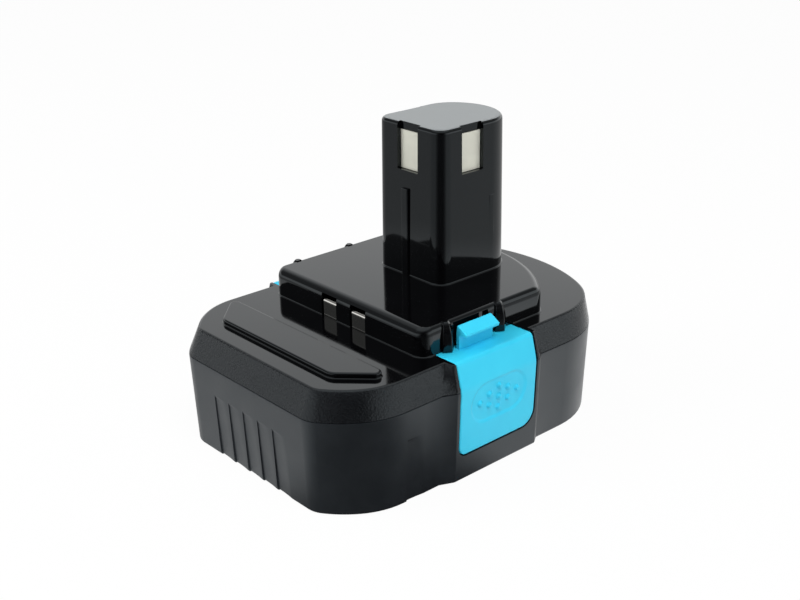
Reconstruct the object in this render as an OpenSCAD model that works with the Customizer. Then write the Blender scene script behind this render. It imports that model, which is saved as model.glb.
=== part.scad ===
// Stem-type rechargeable battery pack for a cordless power tool.
// Millimetres, +Z up. The origin is the middle of the underside.
// The fluted front faces -Y, and the two release latches face -X and +X.

/* [Cells] */
// Diameter of one round cell
cell_d = 18.4; // [17.6:0.1:19.6]
// Length of one round cell over its cap
cell_l = 65; // [62:0.5:70]
// Gap between neighbouring cells
cell_gap = 0.3; // [0.2:0.05:0.6]
// Diameter of the raised cap on the positive end
cap_d = 6; // [4:0.2:9]
// Height of the raised cap
cap_h = 0.9; // [0.4:0.1:1.6]
// Rounding of the ends of a cell
cell_edge = 0.8; // [0.4:0.1:1.4]
// Thickness of the nickel links welded to the cell ends
link_t = 0.25; // [0.15:0.05:0.4]
// Width of the nickel links
link_w = 6.4; // [4:0.2:8]
// Width of the tabs that carry the current up to the board
tab_w = 1.6; // [1:0.1:2]
// Thickness of the insulating sheets outside the links
sheet_t = 0.3; // [0.2:0.05:0.4]
// Length of the part of a cell that an end frame holds
frame_l = 6; // [4:0.5:10]
// Thickness of an end frame around a cell
frame_rim = 0.8; // [0.6:0.1:1.2]

/* [Case] */
// Room between the first cell and the front of the case
front_room = 10.55; // [10:0.05:18]
// Room between the last cell and the rear of the case
rear_room = 24.05; // [23:0.05:36]
// Room between the cell ends and the sides of the case
end_room = 12.8; // [12.6:0.1:18]
// Wall thickness of both case halves
wall = 2.4; // [2:0.1:2.8]
// Thickness of the floor
floor_t = 3.4; // [1.6:0.1:4]
// How far the bottom edge is drawn in from the seam
draft = 1.2; // [0.5:0.1:3]
// Rounding of the bottom edge
foot_round = 0.9; // [0.3:0.1:1.5]
// Height of the sloped shoulder above the seam
shoulder_h = 8.6; // [6.5:0.1:9.5]
// How far the shoulder runs in at the sides
shoulder_side = 3.15; // [2:0.05:5]
// How far the shoulder runs in at the front
shoulder_front = 3.8; // [2:0.1:7]
// How far the shoulder runs in at the rear
shoulder_rear = 1.4; // [1.2:0.1:7]
// Rounding between the shoulder and the deck
shoulder_edge = 0.5; // [0.2:0.1:1]
// Radius where a front corner leaves the front
corner_front_r = 9.3; // [7:0.1:14]
// Flatter radius in the middle of a front corner
corner_mid_r = 33.9; // [14:0.1:40]
// Radius where a front corner meets the side
corner_side_r = 24.9; // [10:0.1:30]
// Radius between a side and the rear
side_r = 30; // [14:0.5:32]
// Radius of the bowed rear
rear_r = 61.2; // [51:0.2:70]
// Depth of the groove along the seam
seam_groove = 0.25; // [0.1:0.05:0.5]
// Height of the lip that locates the two halves
lip_h = 1.8; // [1:0.1:2.4]
// Thickness of the lip that locates the two halves
lip_t = 1.2; // [0.8:0.1:1.6]

/* [Grip flutes] */
// Number of grip flutes on the front
flute_count = 5; // [3:1:7]
// Distance from one flute to the next
flute_pitch = 7.45; // [6:0.05:9]
// Width of one flute
flute_w = 7; // [4:0.1:7.4]
// Depth of a flute at the foot of the case
flute_depth = 0.9; // [0.5:0.1:1.4]
// Depth of a flute at its upper end
flute_top_depth = 0.3; // [0.2:0.05:0.5]
// Height of the upper end of the flutes
flute_h = 21; // [14:0.5:24]
// Sideways shift of the row of flutes
flute_shift = -2.4; // [-4:0.1:4]
// Distance of the side flutes from the front of the case
side_flute_y = 25; // [22:0.5:30]

/* [Plateau] */
// Height of the plateau above the deck
plateau_h = 9.2; // [8.4:0.1:10.5]
// Room between the cell ends and the sides of the plateau
plateau_room = 4; // [3.6:0.1:4.6]
// Reach of the plateau past the front upper cell
plateau_reach = 9.1; // [8.9:0.1:11]
// Reach of the plateau past the rear upper cell, at the cell's ends
plateau_rear_reach = 9.1; // [7:0.1:10]
// Radius of the bowed rear of the plateau
plateau_rear_r = 49; // [47:1:80]
// Corner radius of the plateau
plateau_corner_r = 4.5; // [3.5:0.1:7]
// Rounding of the front and rear top edges of the plateau
plateau_edge_r = 3; // [1:0.1:3.2]
// Rounding of the top edge along the sides of the plateau
plateau_side_edge_r = 1.6; // [1:0.1:3]
// Distance from the plateau to the raised front pad
pad_gap = 14.9; // [8:0.1:18]
// Length of the raised front pad
pad_l = 12.5; // [10:0.1:14]
// Half width of the raised front pad
pad_hw = 36.6; // [28:0.1:37]
// Height of the raised front pad
pad_h = 1.8; // [0.8:0.1:3]
// Rounding of the top edge of the pad
pad_edge = 0.7; // [0.2:0.1:0.8]
// Front corner radius of the pad
pad_corner_r = 5; // [3:0.5:6]
// Radius at the tips of the pad
pad_tip_r = 2; // [1:0.1:3]

/* [Stem] */
// Height of the stem above the plateau
stem_h = 50.4; // [46:0.2:56]
// Width of the stem at its foot
stem_w = 30.7; // [29:0.1:34]
// Length of the stem at its foot
stem_l = 36.4; // [34:0.1:38]
// Distance of the stem from the rear of the plateau
stem_back = 3.9; // [1.5:0.1:4]
// How far the stem narrows on each side towards its top
stem_draft = 0.5; // [0.2:0.05:0.8]
// Front corner radius of the stem
stem_corner_r = 5; // [3:0.1:7]
// Radius between a side and the rear of the stem
stem_side_r = 12; // [6:0.5:13]
// Radius of the rear of the stem
stem_rear_r = 17; // [17:0.1:24]
// Rounding of the top edge of the stem
stem_edge = 1; // [0.4:0.1:1.6]
// Wall thickness of the stem at its foot
stem_wall = 2.5; // [2.2:0.1:3.2]
// Width of the key rib on the front of the stem
key_w = 2.9; // [1.5:0.1:4]
// How far the key rib stands out
key_out = 1.2; // [0.8:0.1:3]
// Height of the key rib
key_h = 30.8; // [20:0.2:34]
// Offset of the key rib from the middle
key_x = -0.8; // [-2:0.1:2]
// Width of the guide ribs on the sides of the stem
guide_w = 2.2; // [1.2:0.1:3]
// How far the guide ribs stand out
guide_out = 0.8; // [0.4:0.1:1.5]
// Height of the guide ribs
guide_h = 26; // [18:0.5:34]
// Distance of the guide ribs from the front of the stem
guide_y = 22; // [21:0.5:24]

/* [Contacts] */
// Width of the contact windows in the stem
window_w = 9.4; // [7:0.1:11]
// Height of the contact windows
window_h = 15.3; // [12:0.1:18]
// Distance of the side windows from the front of the stem
window_y = 14.4; // [12:0.1:16]
// Thickness of the contact plates
plate_t = 0.8; // [0.5:0.1:1]
// Length of the tab that folds over the holder
fold_l = 6; // [4:0.5:8]
// Height of the holder that carries the contact plates
holder_h = 17; // [14:0.5:24]
// Diameter of the leads between the board and the plates
lead_d = 2.2; // [1.4:0.1:2.6]
// Half distance between the two charging contacts
charge_x = 7; // [6:0.1:10]
// Width of a charging contact
charge_w = 6.2; // [4:0.1:7]
// Thickness of a charging contact
charge_t = 0.6; // [0.4:0.05:0.8]
// Bend radius of a charging contact
charge_r = 1.3; // [1:0.1:1.6]
// Width of the notch around a charging contact
notch_w = 8.6; // [7.6:0.1:9.6]
// Height of the notch around a charging contact
notch_h = 7.7; // [7.2:0.1:8]
// Depth of the pocket in the notch
notch_depth = 1.3; // [1.2:0.1:1.4]

/* [Latches] */
// Distance from the middle upper cell to the middle of the latches
latch_back = 5.7; // [4:0.1:8]
// Length of a latch
latch_l = 32.8; // [30:0.2:36]
// Height of the lower edge of a latch
latch_foot = 8.6; // [7:0.1:12]
// How far a latch stands out from the side of the case
latch_out = 2.05; // [1.5:0.05:3]
// How far a latch stands out from the shoulder
latch_crest = 3; // [2:0.1:3.4]
// Thickness of a latch
latch_t = 2.2; // [1.6:0.1:2.6]
// How far the top of a latch reaches under the plateau wall
latch_tuck = 0.9; // [0.5:0.1:1.2]
// Radius of the lower corners of a latch
latch_corner_r = 3.5; // [2:0.1:6]
// Thickness of the end webs of a latch
web_t = 1.8; // [1.2:0.1:2.4]
// Width of the hook
hook_w = 14.3; // [10:0.1:15]
// Height of the hook above the deck
hook_h = 7.9; // [7.5:0.1:8.4]
// Distance from the plateau wall to the hook
hook_room = 0.9; // [0.8:0.1:2]
// Thickness of the neck of the hook
neck_t = 1.2; // [1.1:0.1:2.6]
// Depth of the pocket in the plateau wall behind a hook
pocket_depth = 1.4; // [1.3:0.1:1.5]
// How far the lip of the hook reaches out
hook_reach = 3.1; // [1.5:0.1:3.4]
// Offset of the hook from the middle of the latch
hook_y = -1.8; // [-2:0.1:0]
// Diameter of the moulded pivots
pivot_d = 4; // [3:0.1:4.4]
// Length of a moulded pivot
pivot_l = 2.3; // [1.6:0.1:2.6]
// Height of the pivot above the lower edge of the latch
pivot_up = 2.7; // [2.4:0.1:4]
// Depth of the pivot behind the face of the latch
pivot_in = 3.1; // [3:0.1:4]
// Length of the finger recess
recess_l = 24.6; // [18:0.2:26]
// Height of the finger recess
recess_h = 14; // [10:0.2:15]
// Depth of the finger recess
recess_depth = 0.45; // [0.2:0.05:0.8]
// Diameter of the grip dots
dot_d = 1.9; // [1:0.1:2.4]
// Half length of the diamond of grip dots
dots_l = 8; // [6:0.1:9]
// Half height of the diamond of grip dots
dots_h = 3.7; // [3:0.1:4.5]
// Width of a guide post at its foot
post_w = 4.6; // [3.5:0.1:4.8]
// How far a guide post stands out
post_out = 2.4; // [1.6:0.1:3]
// How far the tip of a guide post rises above the plateau
post_rise = 0.3; // [0:0.1:2]
// Distance of the front guide posts from the middle of the latch
post_front = 12.1; // [11.8:0.1:14]
// Distance of the rear guide posts from the middle of the latch
post_rear = 10.4; // [9.6:0.1:12]
// Face width of the frame in front of a latch
frame_face = 1; // [0.6:0.1:2]
// Length of the slanted front end of the latch frame
ramp_front = 4.6; // [2:0.1:6]
// Length of the slanted rear end of the latch frame
ramp_rear = 3; // [2:0.1:6]

/* [Latch springs] */
// Outer diameter of a latch spring
spring_d = 6.8; // [5.6:0.1:8]
// Wire diameter of a latch spring
spring_wire = 0.8; // [0.6:0.05:1]
// Number of curls of a latch spring
spring_turns = 6; // [4:1:7]
// Height of a latch spring above the pivot
spring_up = 13.5; // [10:0.5:16]
// Length of the pegs inside the spring
peg_l = 2.5; // [1.5:0.1:3]

/* [Board] */
// Thickness of the protection board
board_t = 1.6; // [1:0.1:2]
// Lift of the board above the upper cells
board_lift = 0.6; // [0.4:0.1:1.5]
// Height over the board, up to the plateau
board_headroom = 4.3; // [4.1:0.1:6]
// Length of a power transistor
transistor_l = 10; // [6:0.5:12]
// Width of a power transistor
transistor_w = 9; // [5:0.5:10]
// Height of a power transistor
transistor_h = 3.4; // [2:0.1:3.8]
// Gap between the power transistors
transistor_gap = 2; // [1:0.5:4]
// Length of the control chip
chip_l = 9; // [5:0.5:12]
// Width of the control chip
chip_w = 7; // [4:0.5:10]
// Height of the control chip
chip_h = 1.6; // [0.8:0.1:2.4]
// Diameter of the temperature sensor
sensor_d = 2.4; // [1.6:0.1:3]

/* [Case screws] */
// Thread diameter of the case screws
screw_d = 3; // [2.5:0.1:3.5]
// Length of a case screw below its head
screw_l = 14; // [12:0.5:15]
// Head diameter of a case screw
head_d = 5.8; // [5:0.1:6.2]
// Head height of a case screw
head_h = 2.4; // [1.8:0.1:3]
// Height of the seats of the screw heads
seat_z = 21.5; // [16:0.5:22]
// Wall around a screw head
post_wall = 1.3; // [1:0.1:1.5]
// How far the screw posts sink into the side walls
post_sink = 0.7; // [0.5:0.1:1.5]
// Distance of the front screws from the front of the case
screw_front = 20.9; // [19:0.1:23]
// Distance of the rear screws from the rear of the case
screw_rear = 35.5; // [33:0.1:42]

/* [Clearances] */
// Gap between parts that are dropped into place
fit = 0.15; // [0.1:0.05:0.25]
// Gap around a latch
latch_gap = 0.4; // [0.3:0.05:0.6]
// Radial gap around a latch pivot
pivot_fit = 0.1; // [0.05:0.05:0.2]
// Radial gap around a cell
cell_fit = 0.1; // [0.05:0.05:0.2]
// Gap between the latches and what they stop against
stop_gap = 0.3; // [0.2:0.05:0.5]

/* [Hidden] */
$fn = 48;
eps = 0.02;
sides = [-1, 1];

// Cell pack, five cells below and three in the hollows above
lower_count = 5;
upper_count = 3;
cell_count = lower_count + upper_count;
pitch = cell_d + cell_gap;
case_l = (lower_count - 1) * pitch + cell_d + front_room + rear_room;
front_y = -case_l / 2;
rear_y = case_l / 2;
lower_z = floor_t + frame_rim + cell_d / 2;
upper_z = lower_z + pitch * sin(60);
function lower_y(i) = front_y + front_room + cell_d / 2 + i * pitch;
function upper_y(i) = lower_y(1) + (i + 0.5) * pitch;
lower_axes = [for (i = [0:lower_count - 1]) [lower_y(i), lower_z]];
upper_axes = [for (i = [0:upper_count - 1]) [upper_y(i), upper_z]];
cell_axes = concat(lower_axes, upper_axes);
// Cells in parallel share a direction: the pairs are 1-2, 3-6, 4-7 and 5-8
cell_turned = [0, 0, 1, 0, 1, 1, 0, 1];
cell_end = cell_l / 2;
link_out = cell_end + link_t;
sheet_out = link_out + fit / 2 + sheet_t;
frame_out = cell_end - stop_gap;
frame_r = cell_d / 2 + frame_rim;
pack_rear = lower_y(lower_count - 1) + frame_r;
pack_front = lower_y(0) - frame_r;

// Heights, built up from the cells
board_z = upper_z + cell_d / 2 + frame_rim + board_lift;
board_top = board_z + board_t;
ceiling_z = board_top + board_headroom;
plateau_z = ceiling_z + wall;
deck_z = plateau_z - plateau_h;
seam_z = deck_z - shoulder_h;
stem_z = plateau_z + stem_h;

// Plan sizes
half_w = cell_end + end_room;
plateau_hw = cell_end + plateau_room;
plateau_front = upper_y(0) - plateau_reach;
plateau_bow = plateau_rear_r - sqrt(pow(plateau_rear_r, 2) - pow(cell_end, 2));
plateau_rear = upper_y(upper_count - 1) + plateau_rear_reach + plateau_bow;
stem_rear = plateau_rear - stem_back;
stem_front = stem_rear - stem_l;
stem_hw = stem_w / 2;
cavity_hw = stem_hw - stem_wall;
holder_top = stem_z - wall - stop_gap - plate_t;
holder_z = holder_top - holder_h;
sill_z = stem_z - window_h;
pad_rear = plateau_front - pad_gap;
pad_front = pad_rear - pad_l;

// Latch places
latch_y = upper_y(1) - latch_back;
latch_y0 = latch_y - latch_l / 2;
latch_y1 = latch_y + latch_l / 2;
function side_x(z) = half_w - draft * (1 - z / seam_z);
function face_x(z) = side_x(z) + latch_out;
latch_in = plateau_hw - latch_tuck;
latch_top_x = half_w - shoulder_side + latch_crest;
pivot_z = latch_foot + pivot_up;
pivot_x = face_x(pivot_z) - pivot_in;
neck_in = plateau_hw + hook_room;
neck_out = neck_in + neck_t;
hook_y0 = latch_y + hook_y - hook_w / 2;
opening_y0 = latch_y0 - latch_gap;
opening_y1 = latch_y1 + latch_gap;
opening_top = deck_z + latch_gap;
pillar_w = pivot_d / 2 + 1.5;
pillar_in = pivot_x - pillar_w;
pillar_l = pivot_l + 2;
pillar_top = seam_z - lip_h - stop_gap;
bay_in = sheet_out + stop_gap;
bay_t = 1.5;
bay_out = bay_in + bay_t;
bay_top = deck_z - wall - latch_t;
spring_z = pivot_z + spring_up;
spring_r = (spring_d - spring_wire) / 2;
peg_r = spring_r - spring_wire / 2 - stop_gap;

// Fasteners
screw_ys = [front_y + screw_front, rear_y - screw_rear];
post_r = head_d / 2 + fit + post_wall;
screw_x = half_w - draft - wall + post_sink - post_r;
screw_posts = [for (s = sides) for (y = screw_ys) [s * screw_x, y]];
post_top = seam_z - lip_h - stop_gap;
boss_r = screw_d / 2 + wall;

cell_names = [for (i = [1:cell_count]) str("cell_", i)];

// Outlines

function on_circle(c, r, a) = c + r * [cos(a), sin(a)];

// Points on an arc
function arc(c, r, a0, a1, n) = [for (i = [0:n]) on_circle(c, r, a0 + (a1 - a0) * i / n)];

function tail(list) = [for (i = [1:len(list) - 1]) list[i]];

// A right half and its mirror image, counter-clockwise, with the last point on the middle line
function mirrored(half) = concat(half, [for (i = [len(half) - 2:-1:0]) [-half[i].x, half[i].y]]);

// A front corner in three arcs, of radius rf at the front, rm in the middle and rs at the side
corner_turn = 35;
function corner(hw, yf, rf, rm, rs, n) =
    let (
        a = corner_turn - 90,
        b = -corner_turn,
        u = [cos(a), sin(a)],
        v = [cos(b), sin(b)],
        c1 = [hw - rs - (rf - rm) * u.x - (rm - rs) * v.x, yf + rf],
        c2 = c1 + (rf - rm) * u,
        c3 = c2 + (rm - rs) * v
    )
    concat(arc(c1, rf, -90, a, n), tail(arc(c2, rm, a, b, n)), tail(arc(c3, rs, b, 0, n)));

// A side that runs through radius rs into a rear bowed at radius rr
function bowed(hw, yr, rs, rr, n) =
    let (
        cr = [0, yr - rr],
        cs = [hw - rs, cr.y + sqrt(pow(rr - rs, 2) - pow(hw - rs, 2))],
        turn = atan2(cs.y - cr.y, cs.x)
    )
    concat(arc(cs, rs, 0, turn, n), tail(arc(cr, rr, turn, 90, 2 * n)));

function bowed_outline(hw, yf, yr, corner_rs, rs, rr, n) =
    mirrored(concat(corner(hw, yf, corner_rs[0], corner_rs[1], corner_rs[2], n), bowed(hw, yr, rs, rr, n)));

// The case outline, drawn in by one amount at the sides, front and rear
function case_outline(side, front, rear) =
    bowed_outline(
        half_w - side, front_y + front, rear_y - rear,
        [corner_front_r - side, corner_mid_r - side, corner_side_r - side], side_r - side, rear_r - rear, 6
    );

function case_inset(d) = case_outline(d, d, d);

function round_corner(r) = [r, r, r];

// The shoulder at a share of its height, with a wall taken off
function shoulder_outline(share, in) =
    case_outline(shoulder_side * share + in, shoulder_front * share + in, shoulder_rear * share + in);

function plateau_outline(d, side) =
    bowed_outline(
        plateau_hw - side, plateau_front + d, plateau_rear - d,
        round_corner(plateau_corner_r - d), plateau_corner_r - d, plateau_rear_r - d, 4
    );

function stem_outline(d) =
    bowed_outline(
        stem_hw - d, stem_front + d, stem_rear - d,
        round_corner(stem_corner_r - d), stem_side_r - d, stem_rear_r - d, 5
    );

// The pad narrows to the front at 45 degrees
function pad_outline(d) =
    let (
        tip = [pad_hw - pad_tip_r, pad_rear - pad_tip_r],
        rise = pad_l - pad_corner_r - pad_tip_r,
        front = [tip.x - rise - sqrt(2) * (pad_corner_r - pad_tip_r), pad_front + pad_corner_r],
        half = concat(arc(front, pad_corner_r - d, -90, -45, 4), arc(tip, pad_tip_r - d, -45, 90, 6))
    )
    concat(half, [for (i = [len(half) - 1:-1:0]) [-half[i].x, half[i].y]]);

// The frame that stands out around a latch
function block_outline(side, face, ramps) =
    [
        [pillar_in, opening_y0 - frame_face - ramps[0]],
        [side, opening_y0 - frame_face - ramps[0]],
        [face, opening_y0 - frame_face],
        [face, opening_y1 + frame_face],
        [side, opening_y1 + frame_face + ramps[1]],
        [pillar_in, opening_y1 + frame_face + ramps[1]]
    ];

// Shared shapes

// A closed skin over outlines with the same number of points, each at its own height
module skin(outlines, heights) {
    n = len(outlines[0]);
    last = len(outlines) - 1;
    points = [for (k = [0:last]) for (p = outlines[k]) [p.x, p.y, heights[k]]];
    walls = [
        for (k = [0:last - 1])
        for (i = [0:n - 1])
        [k * n + i, (k + 1) * n + i, (k + 1) * n + (i + 1) % n, k * n + (i + 1) % n]
    ];
    bottom = [for (i = [0:n - 1]) i];
    top = [for (i = [n - 1:-1:0]) last * n + i];
    polyhedron(points, concat([bottom, top], walls));
}

module both_sides() {
    children();
    mirror([1, 0, 0])
        children();
}

// A profile drawn in X and Z, extruded from y0 to y1
module along_y(y0, y1) {
    translate([0, y1, 0])
        rotate([90, 0, 0])
            linear_extrude(height = y1 - y0)
                children();
}

// A profile drawn in Y and Z, extruded from x0 to x1
module along_x(x0, x1) {
    translate([x0, 0, 0])
        rotate([90, 0, 90])
            linear_extrude(height = x1 - x0)
                children();
}

module rod_y(x, z, d, y0, y1) {
    along_y(y0, y1)
        translate([x, z])
            circle(d = d);
}

module rod_x(y, z, d, x0, x1) {
    along_x(x0, x1)
        translate([y, z])
            circle(d = d);
}

// A straight bar with round ends between two points
module bar(p, q, w) {
    run = q - p;
    translate(p)
        circle(d = w);
    translate(q)
        circle(d = w);
    translate(p)
        rotate(atan2(run.y, run.x))
            translate([0, -w / 2])
                square([norm(run), w]);
}

module chain(points, w) {
    for (i = [0:len(points) - 2])
        bar(points[i], points[i + 1], w);
}

// The side view of the latch opening, with round lower corners
module latch_view(gap) {
    r = latch_corner_r + gap;
    y0 = latch_y0 - gap;
    y1 = latch_y1 + gap;
    z0 = latch_foot - gap;
    translate([y0, z0 + r])
        square([y1 - y0, stem_z]);
    translate([y0 + r, z0])
        square([y1 - y0 - 2 * r, 2 * r]);
    for (y = [y0 + r, y1 - r])
        translate([y, z0 + r])
            circle(r = r);
}

// Lower case

module lower_shell() {
    edge = draft + foot_round;
    round_in = draft * (1 - foot_round / seam_z);
    groove_z = seam_z - seam_groove;
    skin(
        [
            case_inset(edge), case_inset(round_in + foot_round * 0.3), case_inset(round_in),
            case_inset(0), case_inset(seam_groove)
        ],
        [0, foot_round * 0.3, foot_round, groove_z, seam_z]
    );
}

module lower_room() {
    skin(
        [case_inset(draft * (1 - floor_t / seam_z) + wall), case_inset(wall), case_inset(wall)],
        [floor_t, seam_z, seam_z + wall]
    );
}

module lower_block() {
    ramps = [ramp_front, ramp_rear];
    skin(
        [
            block_outline(side_x(0) - foot_round, face_x(0) - foot_round, ramps),
            block_outline(side_x(foot_round), face_x(foot_round), ramps),
            block_outline(half_w, half_w + latch_out, ramps),
            block_outline(half_w - seam_groove, half_w + latch_out - seam_groove, ramps)
        ],
        [0, foot_round, seam_z - seam_groove, seam_z]
    );
}

// One flute: a step at the origin that runs out smoothly along +X, cut into a wall that faces -Y
module flute() {
    run_r = (pow(flute_w, 2) + pow(flute_depth, 2)) / (2 * flute_depth);
    lean = atan2(draft, seam_z) + atan2(flute_depth - flute_top_depth, flute_h);
    translate([0, draft + flute_depth, 0])
        rotate([lean, 0, 0])
            translate([0, -run_r, -flute_h])
                intersection() {
                    cylinder(r = run_r, h = 2 * flute_h);
                    cube([flute_w + 1, run_r + 1, 2 * flute_h]);
                }
}

module flutes() {
    first = flute_shift - flute_pitch * (flute_count - 1) / 2;
    intersection() {
        union() {
            for (i = [0:flute_count - 1])
                translate([first + i * flute_pitch, front_y, 0])
                    flute();
            both_sides()
                translate([half_w, front_y + side_flute_y, 0])
                    rotate(90)
                        flute();
        }
        translate([-case_l, -case_l, -1])
            cube([2 * case_l, 2 * case_l, flute_h + 1]);
    }
}

module screw_posts_at() {
    for (p = screw_posts)
        translate([p.x, p.y, 0])
            children();
}

// Pillars at the ends of a latch, slotted for its pivots
module latch_pillars() {
    for (y = [opening_y0 - pillar_l, opening_y1])
        translate([pillar_in, y, floor_t - eps])
            cube([face_x(0) - pillar_in - wall, pillar_l, pillar_top - floor_t]);
}

module pivot_slots() {
    slot_d = pivot_d + 2 * pivot_fit;
    slot_l = pivot_l + stop_gap;
    reach = latch_corner_r;
    for (span = [[opening_y0 - slot_l, opening_y0 + reach], [opening_y1 - reach, opening_y1 + slot_l]]) {
        rod_y(pivot_x, pivot_z, slot_d, span[0], span[1]);
        translate([pivot_x - slot_d / 2, span[0], pivot_z])
            cube([slot_d, span[1] - span[0], seam_z]);
    }
}

// The wall between the cells and a latch, with the inner peg of the spring
module bay_wall() {
    y0 = opening_y0 - pillar_l;
    y1 = opening_y1 + pillar_l;
    translate([bay_in, y0, floor_t - eps])
        cube([bay_t, y1 - y0, bay_top - floor_t]);
    rod_x(latch_y, spring_z, 2 * peg_r, bay_out - eps, bay_out + peg_l);
}

// Ribs that keep the cell frames from sliding
module cell_stops() {
    rib = 1.6;
    for (y = [pack_front - fit - rib, pack_rear + fit])
        both_sides()
            translate([frame_out - frame_l, y, floor_t - eps])
                cube([frame_l, rib, lower_z - floor_t]);
}

module lower_case() {
    color([0.16, 0.17, 0.18])
        difference() {
            union() {
                difference() {
                    union() {
                        lower_shell();
                        both_sides()
                            lower_block();
                    }
                    lower_room();
                    flutes();
                }
                intersection() {
                    union() {
                        screw_posts_at()
                            cylinder(r = post_r, h = post_top);
                        both_sides() {
                            latch_pillars();
                            bay_wall();
                        }
                        cell_stops();
                    }
                    skin([case_inset(draft + wall / 2), case_inset(wall / 2)], [floor_t / 2, seam_z]);
                }
            }
            both_sides() {
                along_x(bay_out + peg_l + spring_wire, half_w + 2 * latch_out)
                    latch_view(latch_gap);
                pivot_slots();
            }
            screw_posts_at() {
                translate([0, 0, -1])
                    cylinder(r = head_d / 2 + fit, h = seat_z + 1);
                cylinder(d = screw_d + 2 * fit, h = seam_z);
            }
        }
}

// Upper case

module shoulder_shell() {
    edge_share = 1 - shoulder_edge / shoulder_h;
    skin(
        [
            shoulder_outline(0, seam_groove),
            shoulder_outline(seam_groove / shoulder_h, 0),
            shoulder_outline(edge_share, 0),
            shoulder_outline(1, shoulder_edge / 2),
            shoulder_outline(1, shoulder_edge * 1.5)
        ],
        [seam_z, seam_z + seam_groove, deck_z - shoulder_edge, deck_z - shoulder_edge / 4, deck_z]
    );
}

module plateau_shell() {
    r = plateau_edge_r;
    turns = [0, 22.5, 45, 67.5, 90];
    rings = [for (a = turns) plateau_outline(r * (1 - cos(a)), plateau_side_edge_r * (1 - cos(a)))];
    skin(
        concat([plateau_outline(0, 0)], rings),
        concat([deck_z - wall], [for (a = turns) plateau_z - r + r * sin(a)])
    );
}

module stem_shell() {
    e = stem_edge;
    skin(
        [
            stem_outline(0), stem_outline(stem_draft), stem_outline(stem_draft + e * 0.13),
            stem_outline(stem_draft + e * 0.5), stem_outline(stem_draft + e)
        ],
        [deck_z - wall, stem_z - e, stem_z - e / 2, stem_z - e * 0.13, stem_z]
    );
}

module front_pad() {
    e = pad_edge;
    skin(
        [pad_outline(0), pad_outline(0), pad_outline(e * 0.3), pad_outline(e)],
        [deck_z - 1, deck_z + pad_h - e, deck_z + pad_h - e * 0.3, deck_z + pad_h]
    );
}

module upper_block() {
    skin(
        [
            block_outline(half_w - seam_groove, half_w + latch_out - seam_groove, [ramp_front, ramp_rear]),
            block_outline(half_w, half_w + latch_out, [ramp_front, ramp_rear]),
            block_outline(half_w - shoulder_side, latch_top_x, [latch_gap, latch_gap])
        ],
        [seam_z, seam_z + seam_groove, deck_z]
    );
}

// Upright ribs on the stem: the key in front and one guide on each side
module stem_ribs() {
    foot = plateau_z - 1;
    translate([key_x - key_w / 2, stem_front - key_out, foot])
        cube([key_w, key_out + 1, key_h + 1]);
    both_sides()
        translate([stem_hw - stem_draft - 1, stem_front + guide_y, foot])
            cube([guide_out + 1, guide_w, guide_h + 1]);
}

// A guide post in plan: flat sides and a ridge in front
function post_outline(w, out) =
    let (x = plateau_hw - wall / 3, side = (out + wall / 3) * 0.55)
    [
        [plateau_hw - wall, -w / 2],
        [x + side, -w / 2],
        [plateau_hw + out, -w / 8],
        [plateau_hw + out, w / 8],
        [x + side, w / 2],
        [plateau_hw - wall, w / 2]
    ];

// A tapered post that keeps the hook in line
module guide_post() {
    tip_z = plateau_z + post_rise;
    tip_w = post_w / 3;
    tip_out = -post_out / 6;
    bend = 0.65;
    skin(
        [
            post_outline(post_w, post_out),
            post_outline(post_w + (tip_w - post_w) * bend * 0.55, post_out + (tip_out - post_out) * bend),
            post_outline(tip_w, tip_out)
        ],
        [opening_top, opening_top + (tip_z - opening_top) * bend, tip_z]
    );
}

module guide_posts() {
    both_sides()
        for (y = [latch_y - post_front, latch_y + post_rear])
            translate([0, y, 0])
                guide_post();
}

// The locating lip inside the seam
module seam_lip() {
    low = seam_z - lip_h;
    slope = draft * lip_h / seam_z;
    skin(
        [case_inset(wall + fit + slope), case_inset(wall + fit), case_inset(wall + fit)],
        [low, seam_z, seam_z + 1]
    );
}

module upper_room() {
    share = 1 - wall / shoulder_h;
    lip_in = wall + fit + lip_t;
    skin(
        [case_inset(lip_in), case_inset(lip_in), shoulder_outline(share, wall * 1.15)],
        [seam_z - lip_h - 1, seam_z, deck_z - wall]
    );
}

module plateau_room_inside() {
    translate([0, 0, deck_z - 2 * wall])
        linear_extrude(height = ceiling_z - deck_z + 2 * wall)
            polygon(plateau_outline(wall, wall));
}

module stem_cavity(in) {
    polygon(stem_outline(stem_wall + in));
}

// A contact window that faces -Y, open through the top edge of the stem, with a shallower lintel on top
module window() {
    lintel = stem_wall + fit - plate_t;
    translate([-window_w / 2, -1, sill_z])
        cube([window_w, stem_wall + stop_gap + 1, window_h - wall + eps]);
    translate([-window_w / 2, -1, stem_z - wall])
        cube([window_w, lintel + 1, wall + 1]);
}

module windows() {
    translate([0, stem_front, 0])
        window();
    both_sides()
        translate([stem_hw, stem_front + window_y, 0])
            rotate(90)
                window();
}

// Room in the plateau walls for the hooks to swing in
module hook_pockets() {
    room = 2 * stop_gap;
    both_sides()
        translate([plateau_hw - pocket_depth, hook_y0 - room, deck_z])
            cube([pocket_depth + 1, hook_w + 2 * room, hook_h + room]);
}

// A pocket for the outer leg of each charging contact, and a slot over the wall behind it
module charge_notches() {
    for (s = sides) {
        translate([s * charge_x - notch_w / 2, plateau_front - 1, deck_z])
            cube([notch_w, notch_depth + 1, notch_h]);
        translate([s * charge_x - notch_w / 2, plateau_front - 1, deck_z + notch_h / 2])
            cube([notch_w, wall + 2, notch_h / 2]);
    }
}

// Pegs that hold the protection board down
module board_pegs() {
    for (s = sides)
        for (y = [upper_y(0) + cell_d / 2, upper_y(upper_count - 1) - cell_d / 2])
            translate([s * (frame_out - frame_l / 2), y, board_top + fit])
                cylinder(d = 4, h = ceiling_z - board_top);
}

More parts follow.
